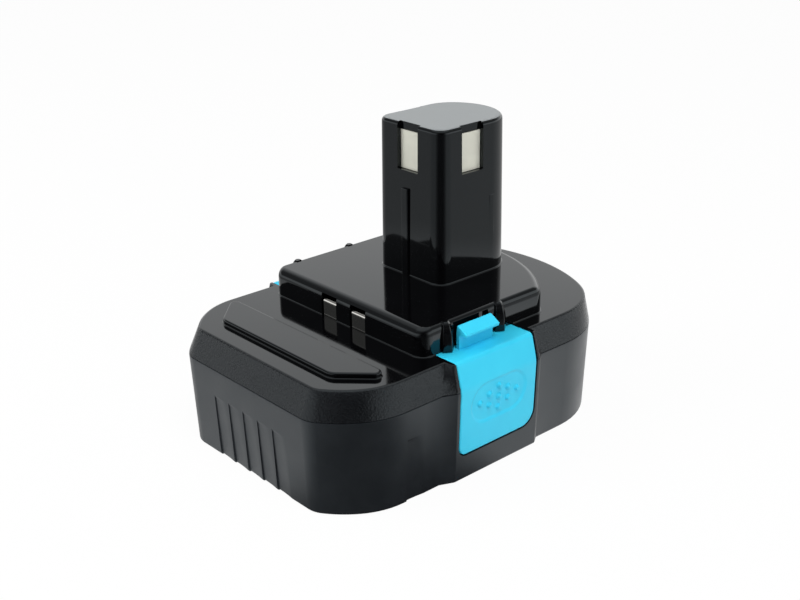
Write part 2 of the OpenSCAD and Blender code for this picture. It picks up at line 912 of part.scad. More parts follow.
// Fingers that close the pivot slots from above
module pivot_fingers() {
    w = pivot_d - 2 * fit;
    low = pivot_z + pivot_d / 2 + stop_gap;
    for (y = [opening_y0 - pivot_l, opening_y1 + stop_gap])
        translate([pivot_x - w / 2, y, low])
            cube([w, pivot_l - stop_gap, seam_z - low + 1]);
}

module screw_bosses() {
    screw_posts_at()
        translate([0, 0, post_top + fit])
            cylinder(r = boss_r, h = deck_z - wall - post_top);
}

module screw_pilots() {
    screw_posts_at()
        translate([0, 0, post_top])
            cylinder(d = screw_d + fit, h = seat_z + screw_l + 1 - post_top);
}

module upper_case() {
    color([0.05, 0.05, 0.06])
        difference() {
            union() {
                difference() {
                    union() {
                        shoulder_shell();
                        seam_lip();
                        plateau_shell();
                        stem_shell();
                        front_pad();
                        stem_ribs();
                        both_sides()
                            upper_block();
                    }
                    upper_room();
                    plateau_room_inside();
                    translate([0, 0, ceiling_z - 1])
                        linear_extrude(height = stem_z - wall - ceiling_z + 1)
                            stem_cavity(0);
                }
                screw_bosses();
                board_pegs();
            }
            both_sides()
                translate([plateau_hw - wall - 1, opening_y0, seam_z - lip_h - 1])
                    cube([half_w, opening_y1 - opening_y0, opening_top - seam_z + lip_h + 1]);
            windows();
            hook_pockets();
            charge_notches();
            screw_pilots();
        }
    color([0.05, 0.05, 0.06]) {
        guide_posts();
        both_sides()
            pivot_fingers();
    }
}

// Latches

// The outer skin of a latch, from its foot up over the shoulder and in under the plateau wall
module latch_profile() {
    foot_x = face_x(latch_foot);
    seam_x = half_w + latch_out;
    polygon([
        [foot_x, latch_foot], [seam_x, seam_z], [latch_top_x, deck_z], [latch_in, deck_z],
        [latch_in, deck_z - latch_t], [latch_top_x - latch_t / 3, deck_z - latch_t],
        [seam_x - latch_t, seam_z - latch_t / 4], [foot_x - latch_t, latch_foot]
    ]);
}

// Stiffening web at each end, which also carries the pivot and the stop ear
module web_profile() {
    ear_in = pillar_in - stop_gap - web_t;
    polygon([
        [face_x(latch_foot) - latch_t / 2, latch_foot + 1], [half_w + latch_out - latch_t / 2, seam_z],
        [latch_top_x - latch_t / 3, deck_z - latch_t / 2], [ear_in, deck_z - latch_t / 2],
        [ear_in, spring_z - spring_d / 2], [pivot_x - pivot_d / 2, pivot_z]
    ]);
}

// A neck with a lip that slopes down and outwards
module hook_profile() {
    top = deck_z + hook_h;
    tip_x = neck_out + hook_reach;
    polygon([
        [neck_in, deck_z - latch_t / 2], [neck_in, top - 0.3], [neck_in + 0.3, top],
        [tip_x, top - 2.3], [tip_x - 0.3, top - 3.3], [neck_out, top - 3.3], [neck_out, deck_z - latch_t / 2]
    ]);
}

// A shallow finger recess with a diamond of raised dots
module recess_view() {
    straight = (recess_l - recess_h) / 2;
    for (s = sides)
        translate([s * straight, 0])
            circle(d = recess_h);
    square([2 * straight, recess_h], center = true);
}

module dots_view() {
    for (i = [-1:1])
        for (j = [-1:1])
            translate([(i + j) * dots_l / 2, (i - j) * dots_h / 2])
                circle(d = dot_d);
}

// The finger face leans back with the draft of the case
module on_finger_face() {
    z = spring_z - 1;
    translate([face_x(z), latch_y, z])
        rotate([0, atan2(draft, seam_z), 0])
            rotate([90, 0, 90])
                children();
}

module latch() {
    ear_in = pillar_in - stop_gap - web_t;
    back_x = face_x(spring_z) - latch_t;
    color([0.12, 0.68, 0.87]) {
        difference() {
            intersection() {
                union() {
                    along_y(latch_y0, latch_y1)
                        latch_profile();
                    for (y = [latch_y0, latch_y1 - web_t])
                        along_y(y, y + web_t)
                            web_profile();
                }
                along_x(0, half_w + 2 * latch_out)
                    latch_view(0);
            }
            on_finger_face()
                translate([0, 0, -recess_depth])
                    linear_extrude(height = recess_depth + 1)
                        recess_view();
        }
        on_finger_face()
            translate([0, 0, -recess_depth - latch_t / 4])
                linear_extrude(height = recess_depth + latch_t / 4)
                    dots_view();
        along_y(hook_y0, hook_y0 + hook_w)
            hook_profile();
        rod_y(pivot_x, pivot_z, pivot_d, latch_y0 - pivot_l, latch_y0 + web_t);
        rod_y(pivot_x, pivot_z, pivot_d, latch_y1 - web_t, latch_y1 + pivot_l);
        for (y = [latch_y0 - web_t, latch_y1 - eps])
            translate([ear_in, y, spring_z - spring_d / 2])
                cube([web_t, web_t + eps, spring_d]);
        rod_x(latch_y, spring_z, 2 * peg_r, back_x - peg_l, back_x + latch_t / 2);
    }
}

module right_latch() {
    latch();
}

module left_latch() {
    mirror([1, 0, 0])
        latch();
}

// Latch springs: one unbroken helix along X between the bay wall and the latch

rings_per_turn = 8;
wire_sides = 6;
spring_x0 = bay_out + spring_wire / 2 + fit;
spring_x1 = face_x(spring_z - spring_d / 2) - latch_t - spring_wire / 2 - stop_gap;
spring_pitch = (spring_x1 - spring_x0) / spring_turns;
spring_rings = spring_turns * rings_per_turn;
function spring_at(k) =
    let (a = 360 * k / rings_per_turn)
    [spring_x0 + spring_pitch * a / 360, latch_y + spring_r * cos(a), spring_z + spring_r * sin(a)];
function spring_ring(k) =
    let (
        a = 360 * k / rings_per_turn,
        out = [0, cos(a), sin(a)],
        along = [spring_pitch, -2 * PI * spring_r * sin(a), 2 * PI * spring_r * cos(a)],
        ahead = along / norm(along),
        across = cross(ahead, out)
    )
    [
        for (i = [0:wire_sides - 1])
        let (b = 360 * i / wire_sides)
        spring_at(k) + spring_wire / 2 * (cos(b) * out + sin(b) * across)
    ];

// Least distance between points a turn or more apart, less the wire
spring_self_gap = min([
    for (i = [0:spring_rings - rings_per_turn])
    for (j = [i + rings_per_turn:spring_rings])
    norm(spring_at(i) - spring_at(j))
]) - spring_wire;
echo(spring_self_gap = spring_self_gap);
echo(pivot_x = pivot_x, pivot_z = pivot_z, latch_y = latch_y, spring_x0 = spring_x0);
echo(case_l = case_l, half_w = half_w, seam_z = seam_z, deck_z = deck_z, plateau_z = plateau_z);

module latch_spring() {
    points = [for (k = [0:spring_rings]) each spring_ring(k)];
    tube = [
        for (k = [0:spring_rings - 1])
        for (i = [0:wire_sides - 1])
        let (a = k * wire_sides + i, b = k * wire_sides + (i + 1) % wire_sides)
        each [[a, b, b + wire_sides], [a, b + wire_sides, a + wire_sides]]
    ];
    last = spring_rings * wire_sides;
    caps = [
        for (i = [1:wire_sides - 2])
        each [[0, i + 1, i], [last, last + i, last + i + 1]]
    ];
    color([0.75, 0.76, 0.78])
        polyhedron(points, concat(tube, caps));
}

module right_latch_spring() {
    latch_spring();
}

module left_latch_spring() {
    mirror([1, 0, 0])
        latch_spring();
}

// Stem contacts

// Middle of each lead under its contact plate, from the front of the stem
lead_in = stem_wall + fold_l / 2;
front_lead_at = [0, stem_front + lead_in];
side_lead_at = [stem_hw - lead_in, stem_front + window_y];

module contact_holder() {
    color([0.1, 0.1, 0.11])
        difference() {
            translate([0, 0, holder_z])
                linear_extrude(height = holder_h)
                    stem_cavity(fit);
            for (p = [front_lead_at, side_lead_at, [-side_lead_at.x, side_lead_at.y]])
                translate([p.x, p.y, holder_z - 1])
                    cylinder(d = lead_d + 2 * fit, h = holder_h + 2);
        }
}

// A plate in its window and a tab that folds in over the holder, for a window that faces -Y
module contact_plate() {
    w = window_w - 2 * fit;
    translate([-w / 2, stem_wall + fit - plate_t, sill_z + fit])
        cube([w, plate_t, holder_top + plate_t - sill_z - fit]);
    translate([-w / 2, stem_wall + fit - plate_t, holder_top])
        cube([w, plate_t + fold_l, plate_t]);
}

module front_contact() {
    color([0.82, 0.81, 0.76])
        translate([0, stem_front, 0])
            contact_plate();
}

module right_contact() {
    color([0.82, 0.81, 0.76])
        translate([stem_hw, stem_front + window_y, 0])
            rotate(90)
                contact_plate();
}

module left_contact() {
    mirror([1, 0, 0])
        right_contact();
}

module lead(p) {
    color([0.75, 0.1, 0.1])
        translate([p.x, p.y, board_top])
            cylinder(d = lead_d, h = holder_top - board_top);
}

module front_lead() {
    lead(front_lead_at);
}

module right_lead() {
    lead(side_lead_at);
}

module left_lead() {
    lead([-side_lead_at.x, side_lead_at.y]);
}

// Charging contacts

// A strip that hooks over the plateau wall, with its inner foot on the board
module charge_profile() {
    t = charge_t;
    r = charge_r;
    y0 = plateau_front + notch_depth - stop_gap - t;
    y1 = plateau_front + wall + 2 * r;
    top = deck_z + notch_h - 1.6;
    translate([y0, deck_z + fit])
        square([t, top - r - deck_z - fit]);
    translate([y0 + r, top - t])
        square([y1 - y0 - 2 * r, t]);
    translate([y1 - t, board_top])
        square([t, top - r - board_top]);
    for (bend = [[y0 + r, 90], [y1 - r, 0]])
        translate([bend[0], top - r])
            rotate(bend[1])
                intersection() {
                    difference() {
                        circle(r = r);
                        circle(r = r - t);
                    }
                    square(r);
                }
}

module charge_contact(s) {
    color([0.82, 0.81, 0.76])
        along_x(s * charge_x - charge_w / 2, s * charge_x + charge_w / 2)
            charge_profile();
}

module right_charge_contact() {
    charge_contact(1);
}

module left_charge_contact() {
    charge_contact(-1);
}

// Protection board

board_hw = frame_out - 1;
board_y0 = plateau_front + wall + stop_gap * 2;
board_y1 = upper_y(upper_count - 1) + plateau_reach - wall - 2;

module protection_board() {
    color([0.1, 0.35, 0.2])
        translate([-board_hw, board_y0, board_z])
            cube([2 * board_hw, board_y1 - board_y0, board_t]);
}

module power_transistors() {
    color([0.08, 0.08, 0.09])
        for (y = [upper_y(0), upper_y(0) + transistor_w + transistor_gap])
            translate([-(board_hw + transistor_l) / 2, y, board_top])
                cube([transistor_l, transistor_w, transistor_h]);
}

module control_chip() {
    color([0.08, 0.08, 0.09])
        translate([(board_hw - chip_l) / 2, upper_y(0), board_top])
            cube([chip_l, chip_w, chip_h]);
}

// A sensor bead in the hollow between two upper cells, with two legs up to the board
module temperature_sensor() {
    y = upper_y(0) + pitch / 2;
    touch = (cell_d + sensor_d) / 2 + fit;
    z = upper_z + sqrt(pow(touch, 2) - pow(pitch / 2, 2));
    leg = sensor_d / 4;
    color([0.75, 0.55, 0.25]) {
        rod_x(y, z, sensor_d, -sensor_d, sensor_d);
        for (s = sides)
            translate([s * sensor_d / 2, y, z])
                cylinder(d = leg, h = board_z - z);
    }
}

// Cells and what holds them

module cell(i) {
    r = cell_d / 2;
    can = cell_l - cap_h;
    e = cell_edge;
    color([0.15, 0.45, 0.6])
        translate([0, cell_axes[i].x, cell_axes[i].y])
            rotate([0, cell_turned[i] == 1 ? -90 : 90, 0])
                translate([0, 0, -cell_end])
                    rotate_extrude()
                        polygon([
                            [0, 0], [r - e, 0], [r, e], [r, can - e], [r - e, can],
                            [cap_d / 2, can], [cap_d / 2, cell_l], [0, cell_l]
                        ]);
}

module frame_view() {
    difference() {
        union() {
            for (p = lower_axes)
                translate(p)
                    circle(r = frame_r);
            for (p = upper_axes)
                translate(p)
                    circle(r = frame_r - frame_rim / 2);
            translate([lower_y(0), lower_z - frame_r])
                square([(lower_count - 1) * pitch, frame_r]);
            translate([upper_y(0) - cell_d / 4, upper_z])
                square([(upper_count - 1) * pitch + cell_d / 2, board_z - upper_z]);
            translate([upper_y(0), lower_z])
                square([(upper_count - 1) * pitch, upper_z - lower_z]);
        }
        for (p = cell_axes)
            translate(p)
                circle(r = cell_d / 2 + cell_fit);
    }
}

module right_cell_frame() {
    color([0.85, 0.85, 0.8])
        along_x(frame_out - frame_l, frame_out)
            frame_view();
}

module left_cell_frame() {
    mirror([1, 0, 0])
        right_cell_frame();
}

function axis(i) = cell_axes[i - 1];

// A tab from a cell up the frame, folded in over the edge of the board
module board_tab(foot) {
    y = foot[len(foot) - 1].x;
    path = concat(foot, [[y, board_top + link_t - tab_w / 2]]);
    along_x(cell_end, link_out)
        chain(path, tab_w);
    translate([board_hw - tab_w, y - tab_w / 2, board_top])
        cube([link_out - board_hw + tab_w, tab_w, link_t]);
}

module right_links() {
    color([0.8, 0.8, 0.78]) {
        along_x(cell_end, link_out) {
            chain([axis(1), axis(2)], link_w);
            chain([axis(6), axis(3), axis(7), axis(4)], link_w);
            chain([axis(8), axis(5)], link_w);
        }
        board_tab([axis(2), [board_y0 + tab_w, upper_z]]);
        board_tab([axis(8)]);
    }
}

module left_links() {
    color([0.8, 0.8, 0.78])
        mirror([1, 0, 0])
            along_x(cell_end, link_out) {
                chain([axis(1), axis(2), axis(6), axis(3)], link_w);
                chain([axis(7), axis(4), axis(8), axis(5)], link_w);
            }
}

module right_insulator() {
    r = cell_d / 2 - cell_gap;
    color([0.55, 0.75, 0.7])
        along_x(link_out + fit / 2, sheet_out) {
            for (p = cell_axes)
                translate(p)
                    circle(r = r);
            translate([lower_y(0), lower_z - r])
                square([(lower_count - 1) * pitch, 2 * r]);
            translate([upper_y(0), lower_z])
                square([(upper_count - 1) * pitch, upper_z - lower_z + r]);
        }
}

module left_insulator() {
    mirror([1, 0, 0])
        right_insulator();
}

// Case screws

module case_screws() {
    slot = head_d / 5;
    color([0.6, 0.6, 0.62])
        screw_posts_at() {
            difference() {
                translate([0, 0, seat_z - head_h])
                    cylinder(d = head_d, h = head_h);
                for (a = [0, 90])
                    rotate(a)
                        translate([-head_d / 3, -slot / 2, seat_z - head_h - 1])
                            cube([head_d * 2 / 3, slot, head_h / 2 + 1]);
            }
            translate([0, 0, seat_z])
                cylinder(d = screw_d, h = screw_l);
        }
}

lower_case();
upper_case();
left_latch();
right_latch();
left_latch_spring();
right_latch_spring();
contact_holder();
front_contact();
left_contact();
right_contact();
left_charge_contact();
right_charge_contact();
protection_board();
power_transistors();
control_chip();
front_lead();
left_lead();
right_lead();
temperature_sensor();
case_screws();
left_cell_frame();
right_cell_frame();
left_links();
right_links();
left_insulator();
right_insulator();
for (i = [0:cell_count - 1])
    cell(i);
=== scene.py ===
# %% [markdown]
# # A stem-type battery pack for a hand tool
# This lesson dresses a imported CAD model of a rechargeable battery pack. The CAD solids set every size and
# joint; here the pieces that show get rounded edges, clean reflections and moulded finishes. Each piece is
# built where the CAD says it is, in millimetres that turn into metres when a mesh is made.

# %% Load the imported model
import math
import bmesh
import bpy
from mathutils import Matrix, Vector


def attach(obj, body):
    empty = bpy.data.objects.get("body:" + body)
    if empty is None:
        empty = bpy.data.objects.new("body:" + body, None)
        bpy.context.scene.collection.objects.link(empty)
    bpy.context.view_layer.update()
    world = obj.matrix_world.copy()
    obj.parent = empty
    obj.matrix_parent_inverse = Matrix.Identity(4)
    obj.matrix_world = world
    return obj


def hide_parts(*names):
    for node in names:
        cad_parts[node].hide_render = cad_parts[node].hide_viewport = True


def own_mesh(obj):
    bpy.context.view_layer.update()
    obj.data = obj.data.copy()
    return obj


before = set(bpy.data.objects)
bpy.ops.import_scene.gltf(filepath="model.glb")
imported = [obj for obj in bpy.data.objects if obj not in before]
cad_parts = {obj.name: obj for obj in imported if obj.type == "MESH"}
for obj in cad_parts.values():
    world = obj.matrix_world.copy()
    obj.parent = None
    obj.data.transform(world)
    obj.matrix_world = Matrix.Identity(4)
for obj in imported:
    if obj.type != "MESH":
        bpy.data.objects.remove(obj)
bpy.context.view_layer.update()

scene = bpy.context.scene
scene.view_settings.view_transform = "Standard"

# %% [markdown]
# ## The camera
# The picture looks at the pack from the front right and a little above, with a short telephoto lens. A Track
# To constraint could aim the camera, but a matrix built from the viewing direction also takes the small roll
# of the picture.

# %% Place the camera
MM = 0.001
AIM, AIM_RIGHT, AIM_UP, DISTANCE = Vector((0, -0.24, 40.01)), -0.668, 0.432, 394.06
azimuth, elevation, roll = math.radians(48.28), math.radians(22.57), math.radians(-0.81)
towards = Vector((math.cos(elevation) * math.sin(azimuth), -math.cos(elevation) * math.cos(azimuth),
                  math.sin(elevation)))
level = (-towards).cross(Vector((0, 0, 1))).normalized()
upright = level.cross(-towards)
right = level * math.cos(roll) + upright * math.sin(roll)
up = upright * math.cos(roll) - level * math.sin(roll)
eye = (AIM + AIM_RIGHT * right + AIM_UP * up + DISTANCE * towards) * MM

lens = bpy.data.cameras.new("picture_camera")
lens.sensor_width = 36
lens.lens = 54.135
camera = bpy.data.objects.new("picture_camera", lens)
camera.matrix_world = Matrix.Translation(eye) @ Matrix((right, up, towards)).transposed().to_4x4()
scene.collection.objects.link(camera)
scene.camera = camera
print("camera at mm", [round(v / MM, 1) for v in eye])

# %% [markdown]
# ## Floor and light
# Black gloss plastic shows only what it mirrors, so the surroundings matter more than the lamps: the studio
# sweep is white behind the pack and beside it, and dark where the photographer stands. Mirror rays get these
# shades from the direction they leave in, which could also be done with cards around the set. The floor
# keeps the contact shadow, because it doesn't shine all by itself.

# %% Node helpers, and what a mirror ray sees
def joined(tree, operation, first, second):
    """A Math node fed by sockets or by plain numbers."""
    maths = tree.nodes.new("ShaderNodeMath")
    maths.operation = operation
    for value, socket in zip((first, second), maths.inputs):
        if isinstance(value, float):
            socket.default_value = value
        else:
            tree.links.new(value, socket)
    return maths.outputs[0]


def ranged(tree, value, span, result, interpolation="SMOOTHSTEP"):
    """A value carried from one span to another and held at its ends."""
    step = tree.nodes.new("ShaderNodeMapRange")
    step.interpolation_type = interpolation
    for name, number in zip(("From Min", "From Max", "To Min", "To Max"), (*span, *result)):
        step.inputs[name].default_value = number
    tree.links.new(value, step.inputs["Value"])
    return step.outputs["Result"]


def vector_maths(tree, operation, vector, result, direction=(0, 0, 0)):
    step = tree.nodes.new("ShaderNodeVectorMath")
    step.operation = operation
    step.inputs[1].default_value = direction
    tree.links.new(vector, step.inputs[0])
    return step.outputs[result]


def mix_shaders(tree, share, first, second, output):
    mix = tree.nodes.new("ShaderNodeMixShader")
    for value, socket in zip((share, first, second), mix.inputs):
        tree.links.new(value, socket)
    tree.links.new(mix.outputs[0], tree.nodes[output].inputs["Surface"])


PHOTOGRAPHER = (math.sin(azimuth), -math.cos(azimuth), 0)
LEFT_SIDE = (-math.cos(azimuth), -math.sin(azimuth), 0)
RIGHT_SHADE, LEFT_SHADE, DARKEST = 1.25, 0.97, 0.02


def seen_directly(tree):
    """1 for rays from the camera, from gloss and through glass, 0 for rays that only carry light."""
    path = tree.nodes.new("ShaderNodeLightPath")
    shown = joined(tree, "MAXIMUM", path.outputs["Is Camera Ray"], path.outputs["Is Glossy Ray"])
    return joined(tree, "MAXIMUM", shown, path.outputs["Is Transmission Ray"])


def for_mirrors(tree, shade):
    """The shade for gloss rays and 1 for all others."""
    path = tree.nodes.new("ShaderNodeLightPath")
    loss = joined(tree, "SUBTRACT", 1.0, shade)
    return joined(tree, "SUBTRACT", 1.0, joined(tree, "MULTIPLY", path.outputs["Is Glossy Ray"], loss))


def share_along(tree, vector, direction):
    return vector_maths(tree, "DOT_PRODUCT", vector, "Value", direction)


def mirrored_shade(tree, outward, dark_span):
    """Dark towards the photographer, and a little brighter on the right than on the left."""
    facing = ranged(tree, share_along(tree, outward, PHOTOGRAPHER), dark_span, (1.0, DARKEST))
    side = ranged(tree, share_along(tree, outward, LEFT_SIDE), (-1.0, 1.0), (RIGHT_SHADE, LEFT_SHADE))
    return joined(tree, "MULTIPLY", facing, side)


print("node helpers ready")

# %% Build the white world
def make_world(light_level):
    world = bpy.data.worlds.new("white_studio")
    world.use_nodes = True
    tree = world.node_tree
    lit, seen = tree.nodes["Background"], tree.nodes.new("ShaderNodeBackground")
    for background in (lit, seen):
        background.inputs["Color"].default_value = (1, 1, 1, 1)
    lit.inputs["Strength"].default_value = light_level
    outward = tree.nodes.new("ShaderNodeTexCoord").outputs["Generated"]
    rise = share_along(tree, outward, (0, 0, 1))
    above_sweep = ranged(tree, rise, (0.24, 0.36), (1.0, 0.2))
    sweep = joined(tree, "MULTIPLY", mirrored_shade(tree, outward, (0.66, 0.97)), above_sweep)
    ceiling = ranged(tree, rise, (0.5, 0.9), (0.0, 0.9))
    behind = ranged(tree, share_along(tree, outward, PHOTOGRAPHER), (-0.8, -0.3), (1.0, 0.0))
    bright = joined(tree, "MAXIMUM", joined(tree, "MAXIMUM", sweep, ceiling), behind)
    tree.links.new(for_mirrors(tree, bright), seen.inputs["Strength"])
    mix_shaders(tree, seen_directly(tree), lit.outputs[0], seen.outputs[0], "World Output")
    return world


scene.world = make_world(light_level=0.32)
print("world:", scene.world.name)

# %% Lay the floor
def paper_finish(shine):
    """White paper that mostly shines by itself; mirrors see painted shade on it, greyer away from the pack
    and dark towards the photographer.
    """
    paper = bpy.data.materials.new("studio_paper")
    paper.use_nodes = True
    tree = paper.node_tree
    sheet = tree.nodes["Principled BSDF"]
    sheet.inputs["Base Color"].default_value = (0.82, 0.82, 0.82, 1)
    sheet.inputs["Roughness"].default_value = 0.9
    sheet.inputs["Specular IOR Level"].default_value = 0.1
    glow = tree.nodes.new("ShaderNodeEmission")
    place = tree.nodes.new("ShaderNodeTexCoord").outputs["Object"]
    reach = vector_maths(tree, "LENGTH", place, "Value")
    outward = vector_maths(tree, "NORMALIZE", place, "Vector")
    # Painted shade: for mirror rays the paper dims with distance from the pack, a painted pool of light
    # around it.
    painted_falloff = ranged(tree, reach, (120 * MM, 210 * MM), (1.0, 0.42))
    shade = joined(tree, "MULTIPLY", mirrored_shade(tree, outward, (0.68, 0.98)), painted_falloff)
    tree.links.new(for_mirrors(tree, shade), glow.inputs["Strength"])
    share = joined(tree, "MULTIPLY", seen_directly(tree), shine)
    mix_shaders(tree, share, sheet.outputs[0], glow.outputs[0], "Material Output")
    return paper


def make_floor(radius, shine, sides=64):
    turns = [math.tau * i / sides for i in range(sides)]
    mesh = bpy.data.meshes.new("studio_floor")
    mesh.from_pydata([(radius * math.cos(a), radius * math.sin(a), -0.1 * MM) for a in turns], [],
                     [tuple(range(sides))])
    mesh.materials.append(paper_finish(shine))
    floor = bpy.data.objects.new("studio_floor", mesh)
    scene.collection.objects.link(floor)
    return floor


floor = make_floor(radius=3.0, shine=0.96)
print("floor:", floor.name)

# %% Hang the lamps
LAMP_AIM = Vector((0, 0, 40)) * MM


def hang_lamp(name, place_mm, size_mm, watts):
    lamp = bpy.data.lights.new(name, "AREA")
    lamp.shape = "DISK"
    lamp.size = size_mm * MM
    lamp.energy = watts
    holder = bpy.data.objects.new(name, lamp)
    holder.location = Vector(place_mm) * MM
    holder.rotation_euler = (LAMP_AIM - holder.location).to_track_quat("-Z", "Y").to_euler()
    holder.visible_glossy = False
    scene.collection.objects.link(holder)


hang_lamp("front_left_softbox", (-500, -800, 700), 700, 8.0)
hang_lamp("right_fill", (900, -200, 600), 800, 2.6)
hang_lamp("top_light", (420, -120, 900), 450, 4.6)

# %% [markdown]
# ## Moulded finishes
# The mould gives each face its own skin: spark-eroded satin on the tub, coarse grain on the shoulder, polish
# on the deck and the stem. One recipe makes them all: a slow noise shifts colour and roughness in patches,
# and a fine noise lifts the surface with a Bump node.

# %% Start a finish and its noises
NOISE_SPAN = (0.3, 0.7)


def start_finish(name):
    finish = bpy.data.materials.new(name)
    finish.use_nodes = True
    return finish, finish.node_tree, finish.node_tree.nodes["Principled BSDF"]


def noise_of(tree, size_mm, detail, stretch=(1, 1, 1)):
    place = tree.nodes.new("ShaderNodeTexCoord")
    turn = tree.nodes.new("ShaderNodeMapping")
    turn.inputs["Scale"].default_value = stretch
    noise = tree.nodes.new("ShaderNodeTexNoise")
    noise.inputs["Scale"].default_value = 1000.0 / size_mm
    noise.inputs["Detail"].default_value = detail
    tree.links.new(place.outputs["Object"], turn.inputs["Vector"])
    tree.links.new(turn.outputs["Vector"], noise.inputs["Vector"])
    return noise.outputs["Fac"]


def tint(tree, noise, dark, light, socket):
    ramp = tree.nodes.new("ShaderNodeValToRGB")
    for stop, position, colour in zip(ramp.color_ramp.elements, NOISE_SPAN, (dark, light)):
        stop.position = position
        stop.color = (*colour, 1)
    tree.links.new(noise, ramp.inputs["Fac"])
    tree.links.new(ramp.outputs["Color"], socket)


def spread(tree, noise, result, socket):
    tree.links.new(ranged(tree, noise, NOISE_SPAN, result, "LINEAR"), socket)


def lift(tree, height, depth_mm, shader, below=None):
    bump = tree.nodes.new("ShaderNodeBump")
    bump.inputs["Distance"].default_value = depth_mm * MM
    tree.links.new(height, bump.inputs["Height"])
    if below is not None:
        tree.links.new(below, bump.inputs["Normal"])
    tree.links.new(bump.outputs["Normal"], shader.inputs["Normal"])
    return bump.outputs["Normal"]


print("finish helpers ready")

# %% Mix the plastics
COOL_GLINT = (0.84, 0.95, 1.0, 1)
WAVE_MM = 14.0


def moulded(name, dark, light, rough, grain_mm, grain_depth, patch_mm=9.0, wave_depth=0.0):
    """Plastic from a mould: patches of colour and gloss, fine grain, and a slow wave where it is polished."""
    finish, tree, shader = start_finish(name)
    patches = noise_of(tree, patch_mm, 3.0)
    tint(tree, patches, dark, light, shader.inputs["Base Color"])
    spread(tree, patches, rough, shader.inputs["Roughness"])
    shader.inputs["IOR"].default_value = 1.5
    shader.inputs["Specular Tint"].default_value = COOL_GLINT
    fine = lift(tree, noise_of(tree, grain_mm, 2.0), grain_depth, shader)
    if wave_depth:
        lift(tree, noise_of(tree, WAVE_MM, 0.0), wave_depth, shader, below=fine)
    return finish


satin_tub = moulded("satin_tub", (0.009, 0.0105, 0.013), (0.013, 0.015, 0.018), (0.36, 0.44), 0.28, 0.012)
grained_shoulder = moulded("grained_shoulder", (0.003, 0.0032, 0.004), (0.006, 0.0064, 0.0075),
                           (0.22, 0.30), 0.6, 0.15)
polished_black = moulded("polished_black", (0.0012, 0.0012, 0.0015), (0.0018, 0.0018, 0.0022),
                         (0.05, 0.09), 0.30, 0.0006, 12.0, 0.010)
# The stem top has real satin grain and roughness; its grey base colour is painted light falling on the top of
# black plastic.
satin_top_painted_light = moulded("satin_top_painted_light", (0.20, 0.215, 0.22), (0.24, 0.255, 0.26), (0.36, 0.44),
                         0.35, 0.012)
latch_blue = moulded("latch_blue", (0.03, 0.59, 0.85), (0.038, 0.63, 0.88), (0.42, 0.5), 0.22, 0.010)
print("plastics:", [m.name for m in bpy.data.materials])

# %% [markdown]
# ## Metals and inner materials
# Rollers leave fine lines along nickel strip: the same noise, stretched in one direction, makes them. The
# inner parts are closed in, but the model may be opened up or cut, so each gets its own finish too.

# %% Mix the metals
LINE_MM, METAL_PATCH_MM = 0.25, 6.0
UPRIGHT_LINES, CROSS_LINES = (1, 1, 0.04), (0.04, 1, 1)


def rolled(name, dark, light, rough, stretch, metal=1.0, line_depth=0.004):
    """Metal strip or wire with fine drawing lines along the stretched direction."""
    finish, tree, shader = start_finish(name)
    shader.inputs["Metallic"].default_value = metal
    lines = noise_of(tree, LINE_MM, 3.0, stretch)
    tint(tree, noise_of(tree, METAL_PATCH_MM, 2.0), dark, light, shader.inputs["Base Color"])
    spread(tree, lines, rough, shader.inputs["Roughness"])
    lift(tree, lines, line_depth, shader)
    return finish


contact_nickel = rolled("contact_nickel", (0.70, 0.70, 0.61), (0.78, 0.78, 0.68), (0.30, 0.42),
                        UPRIGHT_LINES, 0.35)
charge_nickel = rolled("charge_nickel", (0.72, 0.71, 0.67), (0.80, 0.79, 0.75), (0.06, 0.11),
                       UPRIGHT_LINES, line_depth=0.0008)
spring_steel = rolled("spring_steel", (0.50, 0.50, 0.50), (0.60, 0.60, 0.60), (0.22, 0.34), CROSS_LINES)
screw_steel = rolled("screw_steel", (0.30, 0.30, 0.31), (0.40, 0.40, 0.41), (0.28, 0.42), UPRIGHT_LINES)
link_nickel = rolled("link_nickel", (0.66, 0.64, 0.58), (0.74, 0.72, 0.66), (0.26, 0.38), UPRIGHT_LINES)
print("metals mixed")

# %% Mix the inner materials
holder_black = moulded("holder_black", (0.012, 0.012, 0.013), (0.018, 0.018, 0.019), (0.45, 0.55), 0.3, 0.01)
frame_white = moulded("frame_white", (0.62, 0.61, 0.57), (0.70, 0.69, 0.65), (0.45, 0.55), 0.35, 0.010)
cell_sleeve = moulded("cell_sleeve", (0.02, 0.16, 0.09), (0.03, 0.20, 0.11), (0.28, 0.36), 0.6, 0.008)
sheet_green = moulded("sheet_green", (0.10, 0.20, 0.09), (0.14, 0.26, 0.12), (0.70, 0.82), 0.25, 0.030)
board_green = moulded("board_green", (0.01, 0.10, 0.04), (0.014, 0.13, 0.055), (0.30, 0.40), 0.5, 0.010)
chip_black = moulded("chip_black", (0.012, 0.012, 0.012), (0.02, 0.02, 0.02), (0.50, 0.62), 0.15, 0.008)
sensor_amber = moulded("sensor_amber", (0.55, 0.20, 0.02), (0.65, 0.27, 0.03), (0.25, 0.35), 0.4, 0.006)
lead_red = moulded("lead_red", (0.52, 0.02, 0.02), (0.60, 0.03, 0.03), (0.40, 0.50), 0.4, 0.010)
lead_black = moulded("lead_black", (0.014, 0.014, 0.014), (0.022, 0.022, 0.022), (0.40, 0.50), 0.4, 0.010)
lead_yellow = moulded("lead_yellow", (0.70, 0.45, 0.02), (0.78, 0.52, 0.03), (0.40, 0.50), 0.4, 0.010)
print("finishes in all:", len(bpy.data.materials))

# %% [markdown]
# ## Outlines
# Seen from above, case, plateau and stem are one family: a flat front with eased corners and a rear that bows
# out. The outlines are lists of points made from arcs. Moving an outline inwards keeps the number of points,
# so two outlines at different heights can always be joined by a strip of quads.

# %% Draw outlines from arcs
def arc(centre, radius, start, end, steps):
    turns = [math.radians(start + (end - start) * i / steps) for i in range(steps + 1)]
    return [(centre[0] + radius * math.cos(a), centre[1] + radius * math.sin(a)) for a in turns]


